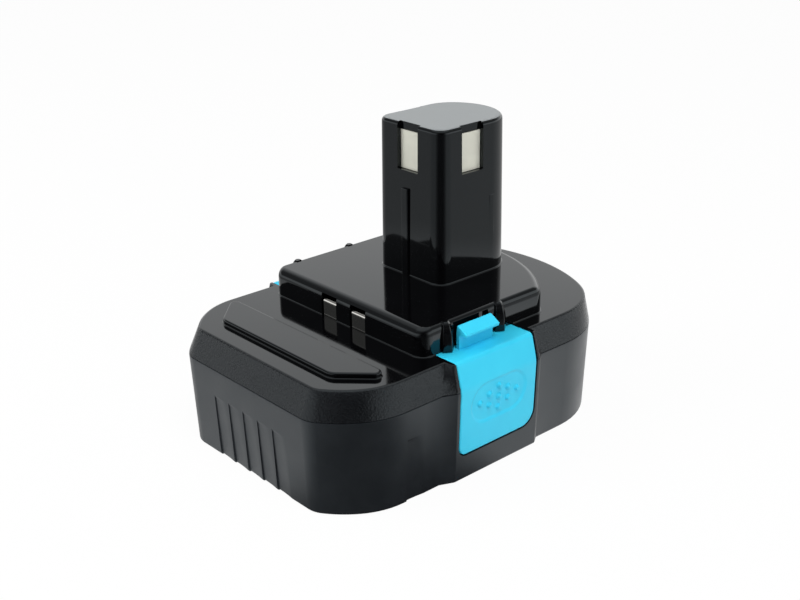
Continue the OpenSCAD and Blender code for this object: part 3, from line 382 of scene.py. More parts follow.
def eased_corner(half_width, front, radii, steps):
    """A front corner in three arcs: one at the front, a flatter one in the middle and one at the side."""
    first, middle, last = radii
    turn_a, turn_b = math.radians(-55), math.radians(-35)
    step_a = ((first - middle) * math.cos(turn_a), (first - middle) * math.sin(turn_a))
    step_b = ((middle - last) * math.cos(turn_b), (middle - last) * math.sin(turn_b))
    c1 = (half_width - last - step_a[0] - step_b[0], front + first)
    c2 = (c1[0] + step_a[0], c1[1] + step_a[1])
    c3 = (c2[0] + step_b[0], c2[1] + step_b[1])
    return (arc(c1, first, -90, -55, steps) + arc(c2, middle, -55, -35, steps)[1:]
            + arc(c3, last, -35, 0, steps)[1:])


def bowed_rear(half_width, rear, side_r, rear_r, steps):
    middle = (0.0, rear - rear_r)
    side_x = half_width - side_r
    side = (side_x, middle[1] + math.sqrt((rear_r - side_r) ** 2 - side_x ** 2))
    turn = math.degrees(math.atan2(side[1] - middle[1], side[0]))
    return arc(side, side_r, 0, turn, steps) + arc(middle, rear_r, turn, 90, 2 * steps)[1:]


def on_side(ring, sign):
    """Points drawn on the right, or their mirror image on the left."""
    return ring if sign > 0 else [(-p[0], *p[1:]) for p in reversed(ring)]


def bowed_outline(half_width, front, rear, corner_rs, side_r, rear_r, steps, between=()):
    """A whole outline; points between the corner and the rear may be given, and steps count per arc."""
    half = (eased_corner(half_width, front, corner_rs, steps[0]) + list(between)
            + bowed_rear(half_width, rear, side_r, rear_r, steps[1]))
    return half + [(-x, y) for x, y in half[-2::-1]]


print("outline helpers ready")

# %% Join outlines into a solid
def at_height(outline, z):
    return [(x, y, z) for x, y in outline]


def lofted(name, rings):
    """A closed solid through rings of equal length, capped at both ends."""
    n = len(rings[0])
    faces = [(k * n + i, k * n + (i + 1) % n, (k + 1) * n + (i + 1) % n, (k + 1) * n + i)
             for k in range(len(rings) - 1) for i in range(n)]
    faces += [tuple(reversed(range(n))), tuple(range((len(rings) - 1) * n, len(rings) * n))]
    mesh = bpy.data.meshes.new(name)
    mesh.from_pydata([(x * MM, y * MM, z * MM) for ring in rings for x, y, z in ring], [], faces)
    piece = bpy.data.objects.new(name, mesh)
    scene.collection.objects.link(piece)
    return piece


def extruded(name, outline, place, low, high):
    """A flat outline drawn out between two values; place puts (u, v, w) in the frame."""
    return lofted(name, [[place(u, v, w) for u, v in outline] for w in (low, high)])


def combine(piece, tool, operation):
    """Join or cut two closed solids with a Boolean modifier, and put the tool away."""
    step = piece.modifiers.new("combine", "BOOLEAN")
    step.operation = operation
    step.object = tool
    step.solver = "EXACT"
    result = bpy.data.meshes.new_from_object(piece.evaluated_get(bpy.context.evaluated_depsgraph_get()))
    piece.modifiers.clear()
    before, piece.data = piece.data, result
    bpy.data.meshes.remove(before)
    bpy.data.meshes.remove(tool.data)


def box_solid(name, sign, x_span, y_span, z_span):
    """A box on the left or right; its x span is drawn on the right."""
    x0, x1 = sorted(sign * x for x in x_span)
    y0, y1 = y_span
    return lofted(name, [at_height([(x0, y0), (x1, y0), (x1, y1), (x0, y1)], z) for z in z_span])


def rod_solid(name, place, radius, low, high, steps=24):
    ring = [(radius * math.cos(math.tau * i / steps), radius * math.sin(math.tau * i / steps))
            for i in range(steps)]
    return extruded(name, ring, place, low, high)


def upright_rod(name, spot, radius, low, high, steps=24):
    return rod_solid(name, lambda u, v, w: (spot[0] + u, spot[1] + v, w), radius, low, high, steps)


print("solid helpers ready")

# %% Round corners and smooth surfaces
def rounded(points, radii, steps=5):
    """The outline with each corner replaced by a tangent arc; radius 0 leaves it sharp."""
    out = []
    for i, corner_at in enumerate(points):
        here, radius = Vector(corner_at), radii[i]
        if radius == 0:
            out.append(tuple(here))
            continue
        back = (Vector(points[i - 1]) - here).normalized()
        ahead = (Vector(points[(i + 1) % len(points)]) - here).normalized()
        half = back.angle(ahead) / 2
        centre = here + (back + ahead).normalized() * (radius / math.sin(half))
        start = here + back * (radius / math.tan(half)) - centre
        end = here + ahead * (radius / math.tan(half)) - centre
        sweep = start.angle_signed(end)
        for k in range(steps + 1):
            cos, sin = math.cos(-sweep * k / steps), math.sin(-sweep * k / steps)
            turned = (start.x * cos - start.y * sin, start.x * sin + start.y * cos)
            out.append((centre.x + turned[0], centre.y + turned[1]))
    return out


def smooth_surface(piece, crease_deg=38):
    """Smooth shading, crisp at creases, that lets large faces keep their flat reflection."""
    piece.data.shade_smooth()
    piece.data.set_sharp_from_angle(angle=math.radians(crease_deg))
    weights = piece.modifiers.new("flat_faces_stay_flat", "WEIGHTED_NORMAL")
    weights.keep_sharp = True
    weights.weight = 80


print("rounding helpers ready")

# %% [markdown]
# ## The case in numbers
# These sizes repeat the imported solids. The walls of the tub lean in towards the floor so that the moulding
# leaves its tool, and the shoulder leans in by a different amount on each side. Both halves turn in a little
# where they meet, which draws the seam as a fine groove.

# %% Heights and insets of the case
SEAM_Z, DECK_Z, PLATEAU_Z, STEM_Z = 30.695, 39.295, 48.495, 98.895
HALF_W, FRONT_Y, REAR_Y = 45.3, -63.9, 63.9
CORNER_RS, SIDE_R, REAR_R = (9.3, 33.9, 24.9), 30, 61.2
SHOULDER_SIDE, SHOULDER_FRONT, SHOULDER_REAR = 3.15, 3.8, 1.4
WALL, DRAFT = 2.4, 1.2
SEAM_EASE, SEAM_REACH = [(0.28, 0.0), (0.07, 0.14)], 0.4
SIDES = (-1, 1)


def lean(z):
    return DRAFT * (1 - z / SEAM_Z)


def case_outline(side, front, rear, between=()):
    return bowed_outline(HALF_W - side, FRONT_Y + front, REAR_Y - rear, [r - side for r in CORNER_RS],
                         SIDE_R - side, REAR_R - rear, (10, 10), between)


def shoulder_outline(share, inset):
    return case_outline(SHOULDER_SIDE * share + inset, SHOULDER_FRONT * share + inset,
                        SHOULDER_REAR * share + inset)


print("case outline points:", len(case_outline(0, 0, 0)))

# %% [markdown]
# ## The tub with its grip flutes
# Five shallow flutes on the front of the tub and one on each side give grip: each starts with a sharp step,
# runs out smoothly and gets deeper towards the floor, which scallops the bottom edge. They could be cut with
# long cylinders, but moving the columns of the wall inwards keeps the mesh even and the step crisp, because
# two columns stand close together there.

# %% Outline of the tub with columns for the flutes
FLUTE_W, FLUTE_H, FLUTE_DEEP, FLUTE_SHALLOW = 7.0, 21.0, 0.5, 0.25
FLUTE_XS = [-17.3 + 7.45 * i for i in range(5)]
SIDE_FLUTE_Y = -38.9
ACROSS = [-0.03, 0.03, 0.3, 0.7, 1.2, 1.8, 2.5, 3.3, 4.2, 5.2, 6.2, 7.0]
FLUTE_R = (FLUTE_W ** 2 + FLUTE_DEEP ** 2) / (2 * FLUTE_DEEP)
FRONT_COLUMNS = [x + u for x in FLUTE_XS for u in ACROSS]
SIDE_COLUMNS = [SIDE_FLUTE_Y + u for u in ACROSS]


def flute_cut(u, z):
    """How far a flute takes the wall in, u across it and z up; it fades out over its top millimetre."""
    if not 0 <= u <= FLUTE_W:
        return 0.0
    depth = FLUTE_DEEP + (FLUTE_SHALLOW - FLUTE_DEEP) * z / FLUTE_H
    depth *= min(1.0, max(0.0, FLUTE_H + 0.5 - z))
    return max(0.0, depth - (FLUTE_R - math.sqrt(FLUTE_R ** 2 - u ** 2)))


def tub_ring(inset, z, fluted=True):
    side_cuts = [flute_cut(y - SIDE_FLUTE_Y, z) if fluted else 0 for y in SIDE_COLUMNS]
    front_cuts = [max(flute_cut(x - f, z) for f in FLUTE_XS) if fluted else 0 for x in FRONT_COLUMNS]
    side = [(HALF_W - inset - cut, y) for cut, y in zip(side_cuts, SIDE_COLUMNS)]
    front = [(x, FRONT_Y + inset + cut) for x, cut in zip(FRONT_COLUMNS, front_cuts)]
    return at_height(case_outline(inset, inset, inset, side) + front, z)


print("tub ring points:", len(tub_ring(0, 0)))

# %% Loft the tub
FOOT_R = 0.9
WALL_ZS = (4, 8, 12, 16.5, 18.8, 20.5, 21.0, 21.5, 25.5, 28.5, SEAM_Z - SEAM_REACH)

foot_turns = [math.radians(a) for a in (0, 18, 36, 54, 72, 90)]
tub_levels = [(lean(FOOT_R) + FOOT_R * (1 - math.sin(a)), FOOT_R * (1 - math.cos(a))) for a in foot_turns]
tub_levels += [(lean(z), z) for z in WALL_ZS]
tub_levels += [(inset, SEAM_Z - reach) for inset, reach in reversed(SEAM_EASE)]
tub = lofted("tub", [tub_ring(inset, z) for inset, z in tub_levels])
print("tub faces:", len(tub.data.polygons))

# %% [markdown]
# ## The frames around the latches
# On each side the wall stands out in a low frame that guards the latch. It has a long slanted facet at the
# front, a short one at the rear, and soft upright edges. The frame is a lofted block joined to the tub; the
# part above the seam belongs to the upper case and leans in with the shoulder.

# %% Build a latch frame block
OPEN_Y0, OPEN_Y1 = -19.9, 13.7
FACE_Y0, FACE_Y1 = OPEN_Y0 - 1.0, OPEN_Y1 + 1.0
FOOT_Y0, FOOT_Y1 = -25.5, 17.7
FACE_X, BLOCK_IN, BLOCK_SINK = HALF_W + 2.05, 39.98, 0.6


def block_ring(side, face, foot0, foot1, z, sign, edge_r=1.1):
    """Frame outline at one height: facets run on into the wall so that the join is clean."""
    in0 = foot0 - BLOCK_SINK * (FACE_Y0 - foot0) / (face - side)
    in1 = foot1 + BLOCK_SINK * (foot1 - FACE_Y1) / (face - side)
    root = side - BLOCK_SINK
    corners = [(BLOCK_IN, in0), (root, in0), (face, FACE_Y0), (face, FACE_Y1), (root, in1), (BLOCK_IN, in1)]
    return at_height(on_side(rounded(corners, [0, 0, edge_r, edge_r, 0, 0]), sign), z)


for sign in SIDES:
    rings = [block_ring(HALF_W - inset, FACE_X - inset, FOOT_Y0, FOOT_Y1, z, sign)
             for inset, z in tub_levels]
    combine(tub, lofted("tub_block", rings), "UNION")
print("tub with frames:", len(tub.data.polygons))

# %% Hollow the tub and add its posts, bay walls and pillars
FLOOR_T, FLOOR_EASE_Z, FLOOR_EASE, ROOT_Z = 3.4, 4.0, 0.25, 1.0
SCREWS = [(sign * 38.05, y) for sign in SIDES for y in (-43.0, 28.4)]
POST_R, POST_TOP = 4.35, SEAM_Z - 1.8
BAY_WALL_X, BAY_WALL_TOP = (33.6, 35.1), 34.7
PILLAR_X, PILLAR_L, OVERLAP = (BLOCK_IN, 43.75), 5, 0.01

room = lofted("tub_room", [tub_ring(lean(FLOOR_T) + WALL, FLOOR_T, False),
                           tub_ring(lean(FLOOR_EASE_Z) + WALL - FLOOR_EASE, FLOOR_EASE_Z, False),
                           tub_ring(WALL, SEAM_Z, False), tub_ring(WALL, SEAM_Z + 2, False)])
combine(tub, room, "DIFFERENCE")
for spot in SCREWS:
    combine(tub, upright_rod("post", spot, POST_R, ROOT_Z, POST_TOP, 40), "UNION")
bay_y0, bay_y1 = OPEN_Y0 - PILLAR_L, OPEN_Y1 + PILLAR_L
for sign in SIDES:
    combine(tub, box_solid("bay_wall", sign, BAY_WALL_X, (bay_y0, bay_y1), (ROOT_Z, BAY_WALL_TOP)), "UNION")
    for y_span in ((bay_y0, OPEN_Y0 + OVERLAP), (OPEN_Y1 - OVERLAP, bay_y1)):
        combine(tub, box_solid("pillar", sign, PILLAR_X, y_span, (ROOT_Z, POST_TOP)), "UNION")
print("hollow tub:", len(tub.data.polygons))

# %% Cut the latch openings and the screw holes
LATCH_GAP = 0.4
LATCH_Y0, LATCH_Y1, LATCH_FOOT = -19.5, 13.3, 8.6
FRONT_CORNER_R, REAR_CORNER_R = 3.0, 5.4
PIVOT_X, PIVOT_Z = 43.492, 11.3
SLOT_HW, SLOT_R, SLOT_OUT = 1.75, 1.7, 2.0
HEAD_R, SCREW_R, SEAT_Z = 3.05, 1.8, 21.5
BAY_X, CLEAR_X, CLEAR_Z = 35.8, 56.0, 40

sill = LATCH_FOOT - LATCH_GAP
opening = rounded([(OPEN_Y0, sill), (OPEN_Y1, sill), (OPEN_Y1, CLEAR_Z), (OPEN_Y0, CLEAR_Z)],
                  [FRONT_CORNER_R + LATCH_GAP, REAR_CORNER_R + LATCH_GAP, 0, 0], 8)
for sign in SIDES:
    low, high = sorted((sign * BAY_X, sign * CLEAR_X))
    combine(tub, extruded("opening", opening, lambda u, v, w: (w, u, v), low, high), "DIFFERENCE")
    x0, x1, foot = sign * PIVOT_X - SLOT_HW, sign * PIVOT_X + SLOT_HW, PIVOT_Z - SLOT_HW
    slot = rounded([(x0, foot), (x1, foot), (x1, CLEAR_Z), (x0, CLEAR_Z)], [SLOT_R, SLOT_R, 0, 0])
    for y0, y1 in ((OPEN_Y0 - SLOT_OUT, OPEN_Y0 + 3.0), (OPEN_Y1 - 5.0, OPEN_Y1 + SLOT_OUT)):
        combine(tub, extruded("slot", slot, lambda u, v, w: (u, w, v), y1, y0), "DIFFERENCE")
for spot in SCREWS:
    combine(tub, upright_rod("bore", spot, HEAD_R, -1, SEAT_Z, 40), "DIFFERENCE")
    combine(tub, upright_rod("hole", spot, SCREW_R, 1, CLEAR_Z), "DIFFERENCE")
print("finished tub:", len(tub.data.polygons))

# %% Dress the tub
def dress(piece, body, slot, finishes, *nodes):
    for finish in finishes:
        piece.data.materials.append(finish)
    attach(piece, body)
    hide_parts(*nodes)


smooth_surface(tub)
dress(tub, "pack", "case_black", [satin_tub], "lower_case")
print("tub dressed")

# %% [markdown]
# ## The upper case
# One moulding carries the shoulder, the deck, the plateau and the stem. Each is lofted with its rounded upper
# edge and a small hollow fillet at its foot: in polished black plastic that fillet shows as a thin line of
# light where two faces meet. The solids are joined first and hollowed afterwards.

# %% Shoulder and deck
SHOULDER_H, DECK_EDGE = DECK_Z - SEAM_Z, 0.5
EDGE_DROPS = [(0.06, 0.55 * DECK_EDGE), (0.26, 0.2 * DECK_EDGE), (0.62, 0.012), (0.8, 0.0)]

rings = [at_height(shoulder_outline(0, inset), SEAM_Z + reach) for inset, reach in SEAM_EASE]
for share in (SEAM_REACH / SHOULDER_H, 0.35, 0.7, 1 - DECK_EDGE / SHOULDER_H):
    rings.append(at_height(shoulder_outline(share, 0), SEAM_Z + share * SHOULDER_H))
rings += [at_height(shoulder_outline(1, inset), DECK_Z - drop) for inset, drop in EDGE_DROPS]
shell = lofted("shell", rings)
print("shoulder faces:", len(shell.data.polygons))

# %% Plateau with its rounded edge
PLATEAU_HW, PLATEAU_FRONT, PLATEAU_REAR = 36.5, -25.2, 42.729
PLATEAU_R, PLATEAU_BOW_R, PLATEAU_FILLET = 4.5, 49, 0.45
PLATEAU_EDGE, PLATEAU_SIDE_EDGE = 3.0, 1.6


def edge_levels(radius, top, steps):
    """Inset and height along a rounded upper edge."""
    turns = [math.pi / 2 * i / steps for i in range(steps + 1)]
    return [(radius * (1 - math.cos(a)), top - radius + radius * math.sin(a)) for a in turns]


def fillet_levels(radius, floor_z, steps):
    """Outset and height along a hollow fillet that rises from a floor, from just under it."""
    turns = [math.pi / 2 * i / steps for i in range(1, steps + 1)]
    curve = [(-radius * (1 - math.sin(a)), floor_z + radius * (1 - math.cos(a))) for a in turns]
    return [(-radius, floor_z - 0.6), (-radius, floor_z + 0.004)] + curve


def plateau_outline(inset, side_inset):
    return bowed_outline(PLATEAU_HW - side_inset, PLATEAU_FRONT + inset, PLATEAU_REAR - inset,
                         [PLATEAU_R - inset] * 3, PLATEAU_R - inset, PLATEAU_BOW_R - inset, (6, 12))


rings = [at_height(plateau_outline(d, d), z) for d, z in fillet_levels(PLATEAU_FILLET, DECK_Z, 5)]
rings += [at_height(plateau_outline(d, d * PLATEAU_SIDE_EDGE / PLATEAU_EDGE), z)
          for d, z in edge_levels(PLATEAU_EDGE, PLATEAU_Z, 9)]
combine(shell, lofted("plateau", rings), "UNION")
print("with plateau:", len(shell.data.polygons))

# %% Stem with its fillet and draft
STEM_HW, STEM_FRONT, STEM_REAR = 15.35, 2.429, 38.829
STEM_R, STEM_SIDE_R, STEM_BOW_R = 5, 12, 17
STEM_DRAFT, STEM_EDGE, STEM_FILLET = 0.5, 1.4, 0.5


def stem_outline(inset):
    return bowed_outline(STEM_HW - inset, STEM_FRONT + inset, STEM_REAR - inset, [STEM_R - inset] * 3,
                         STEM_SIDE_R - inset, STEM_BOW_R - inset, (8, 8))


def stem_draft(z):
    return STEM_DRAFT * (z - PLATEAU_Z) / (STEM_Z - PLATEAU_Z)


levels = [(0, DECK_Z - 1.5)] + fillet_levels(STEM_FILLET, PLATEAU_Z, 5)
levels += [(stem_draft(z), z) for z in (60, 72, 84, STEM_Z - STEM_EDGE - 0.8)]
levels += [(d + STEM_DRAFT, z) for d, z in edge_levels(STEM_EDGE, STEM_Z, 6)]
combine(shell, lofted("stem", [at_height(stem_outline(d), z) for d, z in levels]), "UNION")
print("with stem:", len(shell.data.polygons))

# %% Pad on the deck
PAD_HW, PAD_FRONT, PAD_REAR, PAD_H = 36.6, -52.6, -40.1, 1.8
PAD_FRONT_R, PAD_TIP_R, PAD_EDGE, PAD_FILLET = 5.0, 2.0, 0.7, 0.35


def pad_outline(inset):
    """A bar across the deck whose front corners are cut at 45 degrees."""
    tip = (PAD_HW - PAD_TIP_R, PAD_REAR - PAD_TIP_R)
    rise = (PAD_REAR - PAD_FRONT) - PAD_FRONT_R - PAD_TIP_R
    front = (tip[0] - rise - math.sqrt(2) * (PAD_FRONT_R - PAD_TIP_R), PAD_FRONT + PAD_FRONT_R)
    half = arc(front, PAD_FRONT_R - inset, -90, -45, 6) + arc(tip, PAD_TIP_R - inset, -45, 90, 10)
    return half + on_side(half, -1)


levels = fillet_levels(PAD_FILLET, DECK_Z, 4) + edge_levels(PAD_EDGE, DECK_Z + PAD_H, 5)
combine(shell, lofted("pad", [at_height(pad_outline(d), z) for d, z in levels]), "UNION")
print("with pad:", len(shell.data.polygons))

# %% Ribs on the stem
RIB_FOOT, RIB_EDGE = 46.9, 0.35
KEY_X, KEY_OUT, KEY_ROOT, KEY_TOP = (-2.25, 0.65), 0.6, 1.5, 77.9
GUIDE_Y, GUIDE_OUT, GUIDE_ROOT_X, GUIDE_TOP = (24.43, 26.63), 0.4, 13.0, 74.5


def rib_solid(name, low, high, top):
    """An upright rib with eased edges and an eased top."""
    levels = [(0, RIB_FOOT), (0, top - RIB_EDGE), (0.3 * RIB_EDGE, top - 0.3 * RIB_EDGE), (RIB_EDGE, top)]
    rings = []
    for d, z in levels:
        x0, y0, x1, y1 = low[0] + d, low[1] + d, high[0] - d, high[1] - d
        rings.append(at_height(rounded([(x0, y0), (x1, y0), (x1, y1), (x0, y1)], [RIB_EDGE] * 4, 4), z))
    return lofted(name, rings)


key_low, key_high = (KEY_X[0], STEM_FRONT - KEY_OUT), (KEY_X[1], STEM_FRONT + KEY_ROOT)
combine(shell, rib_solid("key_rib", key_low, key_high, KEY_TOP), "UNION")
for sign in SIDES:
    low, high = sorted((sign * GUIDE_ROOT_X, sign * (STEM_HW - STEM_DRAFT + GUIDE_OUT)))
    combine(shell, rib_solid("guide_rib", (low, GUIDE_Y[0]), (high, GUIDE_Y[1]), GUIDE_TOP), "UNION")
print("with ribs:", len(shell.data.polygons))

# %% Upper latch frames
LATCH_TOP_X = 45.15


def shell_block(sign):
    rings = [block_ring(HALF_W - inset, FACE_X - inset, FOOT_Y0, FOOT_Y1, SEAM_Z + reach, sign)
             for inset, reach in SEAM_EASE + [(0.0, SEAM_REACH)]]
    for share in (0.35, 0.7, 0.93, 0.98):
        side = HALF_W - SHOULDER_SIDE * share
        face = FACE_X + (LATCH_TOP_X - FACE_X) * share
        foot0 = FOOT_Y0 + (FACE_Y0 - 0.4 - FOOT_Y0) * share
        foot1 = FOOT_Y1 + (FACE_Y1 + 0.4 - FOOT_Y1) * share
        rings.append(block_ring(side, face, foot0, foot1, SEAM_Z + share * SHOULDER_H, sign))
    rings.append(block_ring(HALF_W - 3.3, LATCH_TOP_X - 0.5, FACE_Y0 - 0.2, FACE_Y1 + 0.2, DECK_Z - 0.01,
                            sign, 0.6))
    return lofted("shell_block", rings)


for sign in SIDES:
    combine(shell, shell_block(sign), "UNION")
print("with latch frames:", len(shell.data.polygons))

# %% Hollow the upper case
SHELL_LIP, STEM_WALL = 5.1, 2.5

lip = case_outline(SHELL_LIP, SHELL_LIP, SHELL_LIP)
rings = [at_height(lip, SEAM_Z - 1), at_height(lip, SEAM_Z + 0.2),
         at_height(shoulder_outline(1 - WALL / SHOULDER_H, WALL * 1.15), DECK_Z - WALL)]
combine(shell, lofted("shoulder_room", rings), "DIFFERENCE")
rings = [at_height(plateau_outline(WALL, WALL), z) for z in (DECK_Z - 2 * WALL, PLATEAU_Z - WALL)]
combine(shell, lofted("plateau_room", rings), "DIFFERENCE")
rings = [at_height(stem_outline(STEM_WALL), z) for z in (PLATEAU_Z - WALL - 1, STEM_Z - WALL)]
combine(shell, lofted("stem_room", rings), "DIFFERENCE")
print("hollow shell:", len(shell.data.polygons))

# %% Cut the latch openings, contact windows and charging notches
OPENING_TOP, TONGUE_ROOM = DECK_Z + LATCH_GAP, 33.1
SILL_Z, LINTEL_Z, WINDOW_HW = 83.595, STEM_Z - WALL, 4.7
WINDOW_Y = (16.829 - WINDOW_HW, 16.829 + WINDOW_HW)
WINDOW_CUTS = [(2.8, (SILL_Z, LINTEL_Z)), (1.85, (LINTEL_Z - 0.01, STEM_Z + 2))]
CHARGE_X, NOTCH_HW, NOTCH_H, NOTCH_DEPTH = 7.0, 3.7, 7.7, 1.3
NOTCH_X, NOTCH_TOP = (CHARGE_X - NOTCH_HW, CHARGE_X + NOTCH_HW), DECK_Z + NOTCH_H
HOOK_Y0, HOOK_Y1, HOOK_ROOM = -12.05, 2.25, 0.35
POCKET_DEPTH, POCKET_TOP = 1.4, 47.5
SIDE_CUTS = [
    ("opening", (TONGUE_ROOM, CLEAR_X), (OPEN_Y0, OPEN_Y1), (SEAM_Z - 4, OPENING_TOP)),
    *(("window", (STEM_HW - depth, STEM_HW + 2), WINDOW_Y, z_span) for depth, z_span in WINDOW_CUTS),
    ("hook_pocket", (PLATEAU_HW - POCKET_DEPTH, PLATEAU_HW + 1.2),
     (HOOK_Y0 - HOOK_ROOM, HOOK_Y1 + HOOK_ROOM), (DECK_Z, POCKET_TOP)),
    ("pocket", NOTCH_X, (PLATEAU_FRONT - 1, PLATEAU_FRONT + NOTCH_DEPTH), (DECK_Z + 0.02, NOTCH_TOP)),
    ("slot", NOTCH_X, (PLATEAU_FRONT - 1, PLATEAU_FRONT + WALL + 1), (DECK_Z + NOTCH_H / 2, NOTCH_TOP)),
]

for sign in SIDES:
    for name, *spans in SIDE_CUTS:
        combine(shell, box_solid(name, sign, *spans), "DIFFERENCE")
for depth, z_span in WINDOW_CUTS:
    window = box_solid("window", 1, (-WINDOW_HW, WINDOW_HW), (STEM_FRONT - 2, STEM_FRONT + depth), z_span)
    combine(shell, window, "DIFFERENCE")
print("opened shell:", len(shell.data.polygons))

# %% [markdown]
# ## Guide posts
# Beside each hook stand two pointed posts that steer it into its slot in the tool. Each narrows to a tip like
# a pointed arch and has a ridge down its outer face, which a loft through narrowing outlines gives directly.

# %% Guide posts and screw bosses
POST_YS, POST_W, POST_OUT, POST_TIP_Z, BOSS_R = (-15.2, 7.3), 4.6, 2.4, 48.8, 4.1


def post_ring(y, width, out, z, sign):
    root = PLATEAU_HW - 1.5
    side = PLATEAU_HW - 0.8 + (out + 0.8) * 0.5
    y0, y1 = y - width / 2, y + width / 2
    corners = [(root, y0), (side, y0), (PLATEAU_HW + out, y), (side, y1), (root, y1)]
    outline = rounded(corners, [0, width * 0.12, width * 0.1, width * 0.12, 0], 4)
    return at_height(on_side(outline, sign), z)


def guide_post(y, sign):
    base = OPENING_TOP + 0.03
    rings = []
    for share in (0, 0.2, 0.4, 0.55, 0.68, 0.79, 0.88, 0.95, 1.0):
        arch = math.sqrt(max(0.0, 1 - max(0, (share - 0.2) / 0.82) ** 2))
        width, out = POST_W * (0.2 + 0.8 * arch), POST_OUT * (1.16 * arch - 0.16)
        rings.append(post_ring(y, width, out, base + (POST_TIP_Z - base) * share, sign))
    return lofted("guide_post", rings)


for sign in SIDES:
    for y in POST_YS:
        combine(shell, guide_post(y, sign), "UNION")
for spot in SCREWS:
    combine(shell, upright_rod("boss", spot, BOSS_R, POST_TOP + 0.2, DECK_Z - WALL + 0.3), "UNION")
print("shell with posts:", len(shell.data.polygons))

# %% Soften the cut edges of the upper case
def soften_edges(piece, width_mm, inside, least_deg=40, segments=2):
    """A small bevel on the creases that a test of their two end points picks out."""
    shape = bmesh.new()
    shape.from_mesh(piece.data)
    bmesh.ops.remove_doubles(shape, verts=shape.verts, dist=0.002 * MM)
    least = math.radians(least_deg)
    creases = [e for e in shape.edges if len(e.link_faces) == 2 and e.calc_face_angle(0) > least]
    edges = [e for e in creases if all(inside(*(c / MM for c in v.co)) for v in e.verts)]
    bmesh.ops.bevel(shape, geom=edges, offset=width_mm * MM, offset_type="OFFSET", segments=segments,
                    profile=0.5, affect="EDGES", clamp_overlap=True)
    shape.to_mesh(piece.data)
    shape.free()
    return len(edges)


def at_cuts(x, y, z):
    """True on the edges of the windows and of the charging notches."""
    at_window = z > SILL_Z - 0.1 and abs(x) < STEM_HW + 0.3
    beside_strip = abs(abs(x) - CHARGE_X) < NOTCH_HW + 0.1
    return at_window or (beside_strip and y < PLATEAU_FRONT + 2.0 and z > DECK_Z + 0.1)


print("softened edges:", soften_edges(shell, 0.22, at_cuts))

# %% Dress the upper case
GRAIN, SATIN_PAINTED_TOP = 1, 2
INSIDE_X, INSIDE_Y = 33, 45

smooth_surface(shell)
dress(shell, "pack", "gloss_black", [polished_black, grained_shoulder, satin_top_painted_light], "upper_case")
for face in shell.data.polygons:
    x, y, z = (c / MM for c in face.center)
    if SEAM_Z + 0.1 < z < DECK_Z - 0.15 and not (abs(x) < INSIDE_X and abs(y) < INSIDE_Y):
        face.material_index = GRAIN
    # The flat top of the stem takes the grey finish, whose colour is painted light.
    if z > STEM_Z - 0.25 and abs(face.normal.z) > 0.8:
        face.material_index = SATIN_PAINTED_TOP
print("shell dressed")

# %% [markdown]
# ## The latches
# A latch is a bent blue plate: a finger face that leans with the tub, a slanted part over the shoulder and a
# flat top with a hook. The finger face has a shallow oval dip with nine low dots. Such soft relief is easiest
# as a height field: a fine grid is laid along the bent profile, and each point moves in or out by a rule for
# borders, dip and dots. A plain back closes it.

# %% Run a grid along the bent profile
LATCH_T, LATCH_FOOT_X, TONGUE_X, BACK_Z = 2.2, 46.486, 35.6, 37.1
LATCH_BENDS = [(LATCH_FOOT_X, LATCH_FOOT), (FACE_X, SEAM_Z), (LATCH_TOP_X, DECK_Z), (TONGUE_X, DECK_Z)]
BACK_BENDS = [(LATCH_FOOT_X - LATCH_T, LATCH_FOOT), (FACE_X - LATCH_T, 30.145), (44.1, BACK_Z),
              (TONGUE_X, BACK_Z)]
BEND_RS, BEND_STEPS = (9.0, 1.6), 12

PATH = [Vector(p) for p in rounded(LATCH_BENDS, [0, *BEND_RS, 0], BEND_STEPS)]
PATH_AT = [0.0]
for a, b in zip(PATH, PATH[1:]):
    PATH_AT.append(PATH_AT[-1] + (b - a).length)


def on_path(s):
    """Place and outward direction at a length along the profile."""
    for k in range(len(PATH) - 1):
        if s <= PATH_AT[k + 1] or k == len(PATH) - 2:
            run = PATH[k + 1] - PATH[k]
            place = PATH[k] + run * ((s - PATH_AT[k]) / run.length)
            return place, Vector((run.y, -run.x)).normalized()


print("latch profile length mm:", round(PATH_AT[-1], 2))

# %% Relief of the finger face
LATCH_Y = (LATCH_Y0 + LATCH_Y1) / 2
RECESS_L, RECESS_H, RECESS_DEPTH, RECESS_Z = 24.6, 14.0, 0.45, 23.8
DOT_R, DOT_H, DOTS_L, DOTS_H = 1.0, 0.9, 8.0, 3.7
BORDER_R = 0.5
DOTS = [(LATCH_Y + (i + j) * DOTS_L / 2, (i - j) * DOTS_H / 2) for i in (-1, 0, 1) for j in (-1, 0, 1)]


def eased(value, low, high):
    t = min(1.0, max(0.0, (value - low) / (high - low)))
    return t * t * (3 - 2 * t)


def corner_inset(radius, s):
    return radius - math.sqrt(radius ** 2 - max(0.0, radius - s) ** 2)


def side_limits(s):
    """Where the latch begins and ends along Y at a length s up from its foot."""
    return LATCH_Y0 + corner_inset(FRONT_CORNER_R, s), LATCH_Y1 - corner_inset(REAR_CORNER_R, s)


def border_distance(y, s):
    reach = []
    for radius, d in ((FRONT_CORNER_R, y - LATCH_Y0), (REAR_CORNER_R, LATCH_Y1 - y)):
        if d < radius and s < radius:
            reach.append(radius - math.hypot(radius - d, radius - s))
        else:
            reach.append(min(d, s))
    return max(0.0, min(reach))


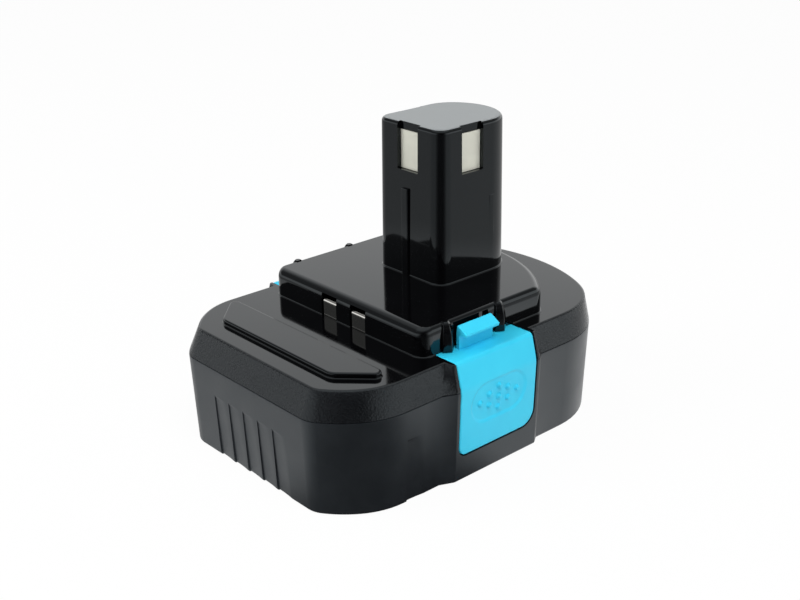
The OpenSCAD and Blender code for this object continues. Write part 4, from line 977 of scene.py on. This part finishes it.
def relief(y, s):
    """How far a point of the finger face moves out (in, where it is negative)."""
    edge = border_distance(y, s)
    drop = 0.0
    if edge < BORDER_R:
        drop = BORDER_R - math.sqrt(max(0.0, BORDER_R ** 2 - (BORDER_R - edge) ** 2))
    v = s - (RECESS_Z - LATCH_FOOT)
    straight = (RECESS_L - RECESS_H) / 2
    inside = RECESS_H / 2 - math.hypot(max(0.0, abs(y - LATCH_Y) - straight), v)
    dip = RECESS_DEPTH * eased(inside, -0.1, 1.1)
    nearest = min(math.hypot(y - dy, v - dv) for dy, dv in DOTS)
    bump = DOT_H * (1 - eased(nearest, DOT_R - 0.42, DOT_R + 0.1))
    return bump - dip - drop


print("dots:", len(DOTS))

# %% Columns and rows of the grid
EDGE_STEPS, EDGE_END = [0, 0.04, 0.1, 0.18, 0.28, 0.4, 0.55], 0.9
FINE, COARSE = 0.23, 0.8
RELIEF_Y, RELIEF_S = (-15.8, 9.6), (7.7, 22.9)


def spaced(low, high, step):
    count = max(1, round((high - low) / step))
    return [low + (high - low) * i / count for i in range(count)]


def in_order(values):
    return sorted(set(round(v, 4) for v in values))


columns = in_order([LATCH_Y0 + e for e in EDGE_STEPS] + spaced(LATCH_Y0 + EDGE_END, RELIEF_Y[0], COARSE)
                   + spaced(*RELIEF_Y, FINE) + spaced(RELIEF_Y[1], LATCH_Y1 - EDGE_END, COARSE)
                   + [LATCH_Y1 - e for e in EDGE_STEPS + [EDGE_END]])
rows = in_order(EDGE_STEPS + spaced(EDGE_END, RELIEF_S[0], 0.7) + spaced(*RELIEF_S, FINE) + PATH_AT[1:]
                + spaced(24.6, 29.2, COARSE) + spaced(31.5, PATH_AT[-1], 1.0))
rows = [s for i, s in enumerate(rows) if i == 0 or s - rows[i - 1] > 0.03]
print("grid:", len(columns), "by", len(rows))

# %% Build the latch plate
def back_at(s):
    """Point of the plate's back that belongs to a length along its face."""
    last = BEND_STEPS + 1
    marks = [0, (PATH_AT[1] + PATH_AT[last]) / 2, (PATH_AT[last + 1] + PATH_AT[-2]) / 2, PATH_AT[-1]]
    for k in range(3):
        if s <= marks[k + 1] or k == 2:
            t = (s - marks[k]) / (marks[k + 1] - marks[k])
            return Vector(BACK_BENDS[k]).lerp(Vector(BACK_BENDS[k + 1]), t)


def latch_plate(name, sign):
    """A loft up the profile: each ring runs along one row of the face and comes back behind it."""
    rings = []
    for s in rows:
        low, high = side_limits(s)
        place, out = on_path(s)
        ring = []
        for column in columns:
            y = low + (high - low) * (column - LATCH_Y0) / (LATCH_Y1 - LATCH_Y0)
            x, z = place + out * relief(y, s)
            ring.append((x, y, z))
        x, z = back_at(s)
        rings.append(on_side(ring + [(x, high, z), (x, low, z)], sign))
    return lofted(name, rings)


right_latch = latch_plate("right_latch_button", 1)
left_latch = latch_plate("left_latch_button", -1)
print("latch plate faces:", len(right_latch.data.polygons))

# %% [markdown]
# ## Hook, webs and pivots
# The hook is a rounded profile drawn out along the latch. Behind the plate, two webs stiffen its ends and
# carry the pivots that turn in the slots of the tub. All are joined, so that each latch is one moulding.

# %% Hook, webs and pivots of a latch
HOOK_CORNERS = [(37.4, 38.0), (38.6, 38.0), (38.6, 43.895), (41.4, 43.895), (41.75, 44.9), (37.4, 47.36)]
HOOK_RS = [0, 0, 0.6, 0.35, 0.4, 0.6]
WEB = [(45.4, 9.6), (46.2, 30.4), (44.0, 37.6), (37.9, 37.6), (37.9, 21.4), (41.5, 11.3)]
WEB_IN, WEB_END, PIVOT_R, PIVOT_OUT, PIVOT_IN = 0.35, 2.1, 1.6, 2.2, 2.0


def at_hook_end(x, y, z):
    return z > DECK_Z + 0.305 and (y < HOOK_Y0 + 0.01 or y > HOOK_Y1 - 0.01)


def finish_latch(plate, sign, body, node):
    def drawn_out(name, outline, y0, y1):
        ends = (y1, y0) if sign > 0 else (y0, y1)
        return extruded(name, outline, lambda u, v, w: (sign * u, w, v), *ends)

    hook = drawn_out("hook", rounded(HOOK_CORNERS, HOOK_RS, 6), HOOK_Y0, HOOK_Y1)
    soften_edges(hook, 0.35, at_hook_end, 60, 3)
    combine(plate, hook, "UNION")
    for y0, y1 in ((LATCH_Y0 + WEB_IN, LATCH_Y0 + WEB_END), (LATCH_Y1 - WEB_END, LATCH_Y1 - WEB_IN)):
        combine(plate, drawn_out("web", WEB, y0, y1), "UNION")
    for y0, y1 in ((LATCH_Y0 - PIVOT_OUT, LATCH_Y0 + PIVOT_IN),
                   (LATCH_Y1 - PIVOT_IN, LATCH_Y1 + PIVOT_OUT)):
        pin = rod_solid("pivot", lambda u, v, w: (sign * PIVOT_X + u, w, PIVOT_Z + v), PIVOT_R, y1, y0, 28)
        combine(plate, pin, "UNION")
    smooth_surface(plate, 42)
    dress(plate, body, "latch_blue", [latch_blue], node)


finish_latch(right_latch, 1, "right_latch", "right_latch")
finish_latch(left_latch, -1, "left_latch", "left_latch")
print("latch faces:", len(right_latch.data.polygons), len(left_latch.data.polygons))

# %% [markdown]
# ## Springs
# Each latch is pushed out by a small compression spring. A curve with a bevel would draw it quickly, but a
# mesh swept along the helix is closed at its ends and can be squashed when the latch is pressed.

# %% Sweep the spring wire
SPRING_X0, SPRING_X1, SPRING_Z, COIL_R, WIRE_R, TURNS = 35.475, 43.98, 24.8, 3.0, 0.4, 6


def spring_coil(name, sign, sides=10, per_turn=28):
    count = TURNS * per_turn
    centres, rings = [], []
    for k in range(count + 1):
        a = math.tau * k / per_turn
        x = SPRING_X0 + (SPRING_X1 - SPRING_X0) * k / count
        centres.append(Vector((x, LATCH_Y + COIL_R * math.cos(a), SPRING_Z + COIL_R * math.sin(a))))
    for k, centre in enumerate(centres):
        run = (centres[min(k + 1, count)] - centres[max(k - 1, 0)]).normalized()
        out = Vector((0, centre.y - LATCH_Y, centre.z - SPRING_Z)).normalized()
        over = run.cross(out)
        turns = [math.tau * i / sides for i in range(sides)]
        ring = [centre + WIRE_R * (math.cos(b) * out + math.sin(b) * over) for b in turns]
        rings.append(on_side(ring, sign))
    return lofted(name, rings)


for side, sign in (("left", -1), ("right", 1)):
    coil = spring_coil(side + "_spring_coil", sign)
    smooth_surface(coil, 60)
    dress(coil, "pack", "spring_steel", [spring_steel], side + "_latch_spring")
    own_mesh(coil)
print("springs wound")

# %% [markdown]
# ## Contacts and inner parts
# The contact plates, the charging strips and everything inside the case already have the right shape in the
# CAD. They keep their meshes and get finishes, and the ones that show also get a small bevel from a modifier,
# which leaves the mesh itself alone.

# %% Give the CAD nodes their finishes
FINISHED_NODES = [
    (contact_nickel, 0.18, ["front_contact", "left_contact", "right_contact"]),
    (charge_nickel, 0.12, ["left_charge_contact", "right_charge_contact"]),
    (screw_steel, 0.2, ["case_screws"]),
    (holder_black, 0, ["contact_holder"]),
    (lead_yellow, 0, ["front_lead"]),
    (lead_black, 0, ["left_lead"]),
    (lead_red, 0, ["right_lead"]),
    (board_green, 0, ["protection_board"]),
    (chip_black, 0, ["power_transistors", "control_chip"]),
    (sensor_amber, 0, ["temperature_sensor"]),
    (frame_white, 0, ["left_cell_frame", "right_cell_frame"]),
    (link_nickel, 0, ["left_links", "right_links"]),
    (sheet_green, 0, ["left_insulator", "right_insulator"]),
    (cell_sleeve, 0, [f"cell_{i}" for i in range(1, 9)]),
]


def ease_edges(node, width_mm):
    bevel = node.modifiers.new("eased_edges", "BEVEL")
    bevel.width = width_mm * MM
    bevel.segments = 3
    bevel.limit_method = "ANGLE"
    bevel.angle_limit = math.radians(50)


for finish, edge_mm, names in FINISHED_NODES:
    for name in names:
        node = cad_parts[name]
        node.data.materials.clear()
        node.data.materials.append(finish)
        if edge_mm:
            ease_edges(node, edge_mm)
print("CAD nodes with finishes:", sum(len(row[2]) for row in FINISHED_NODES))
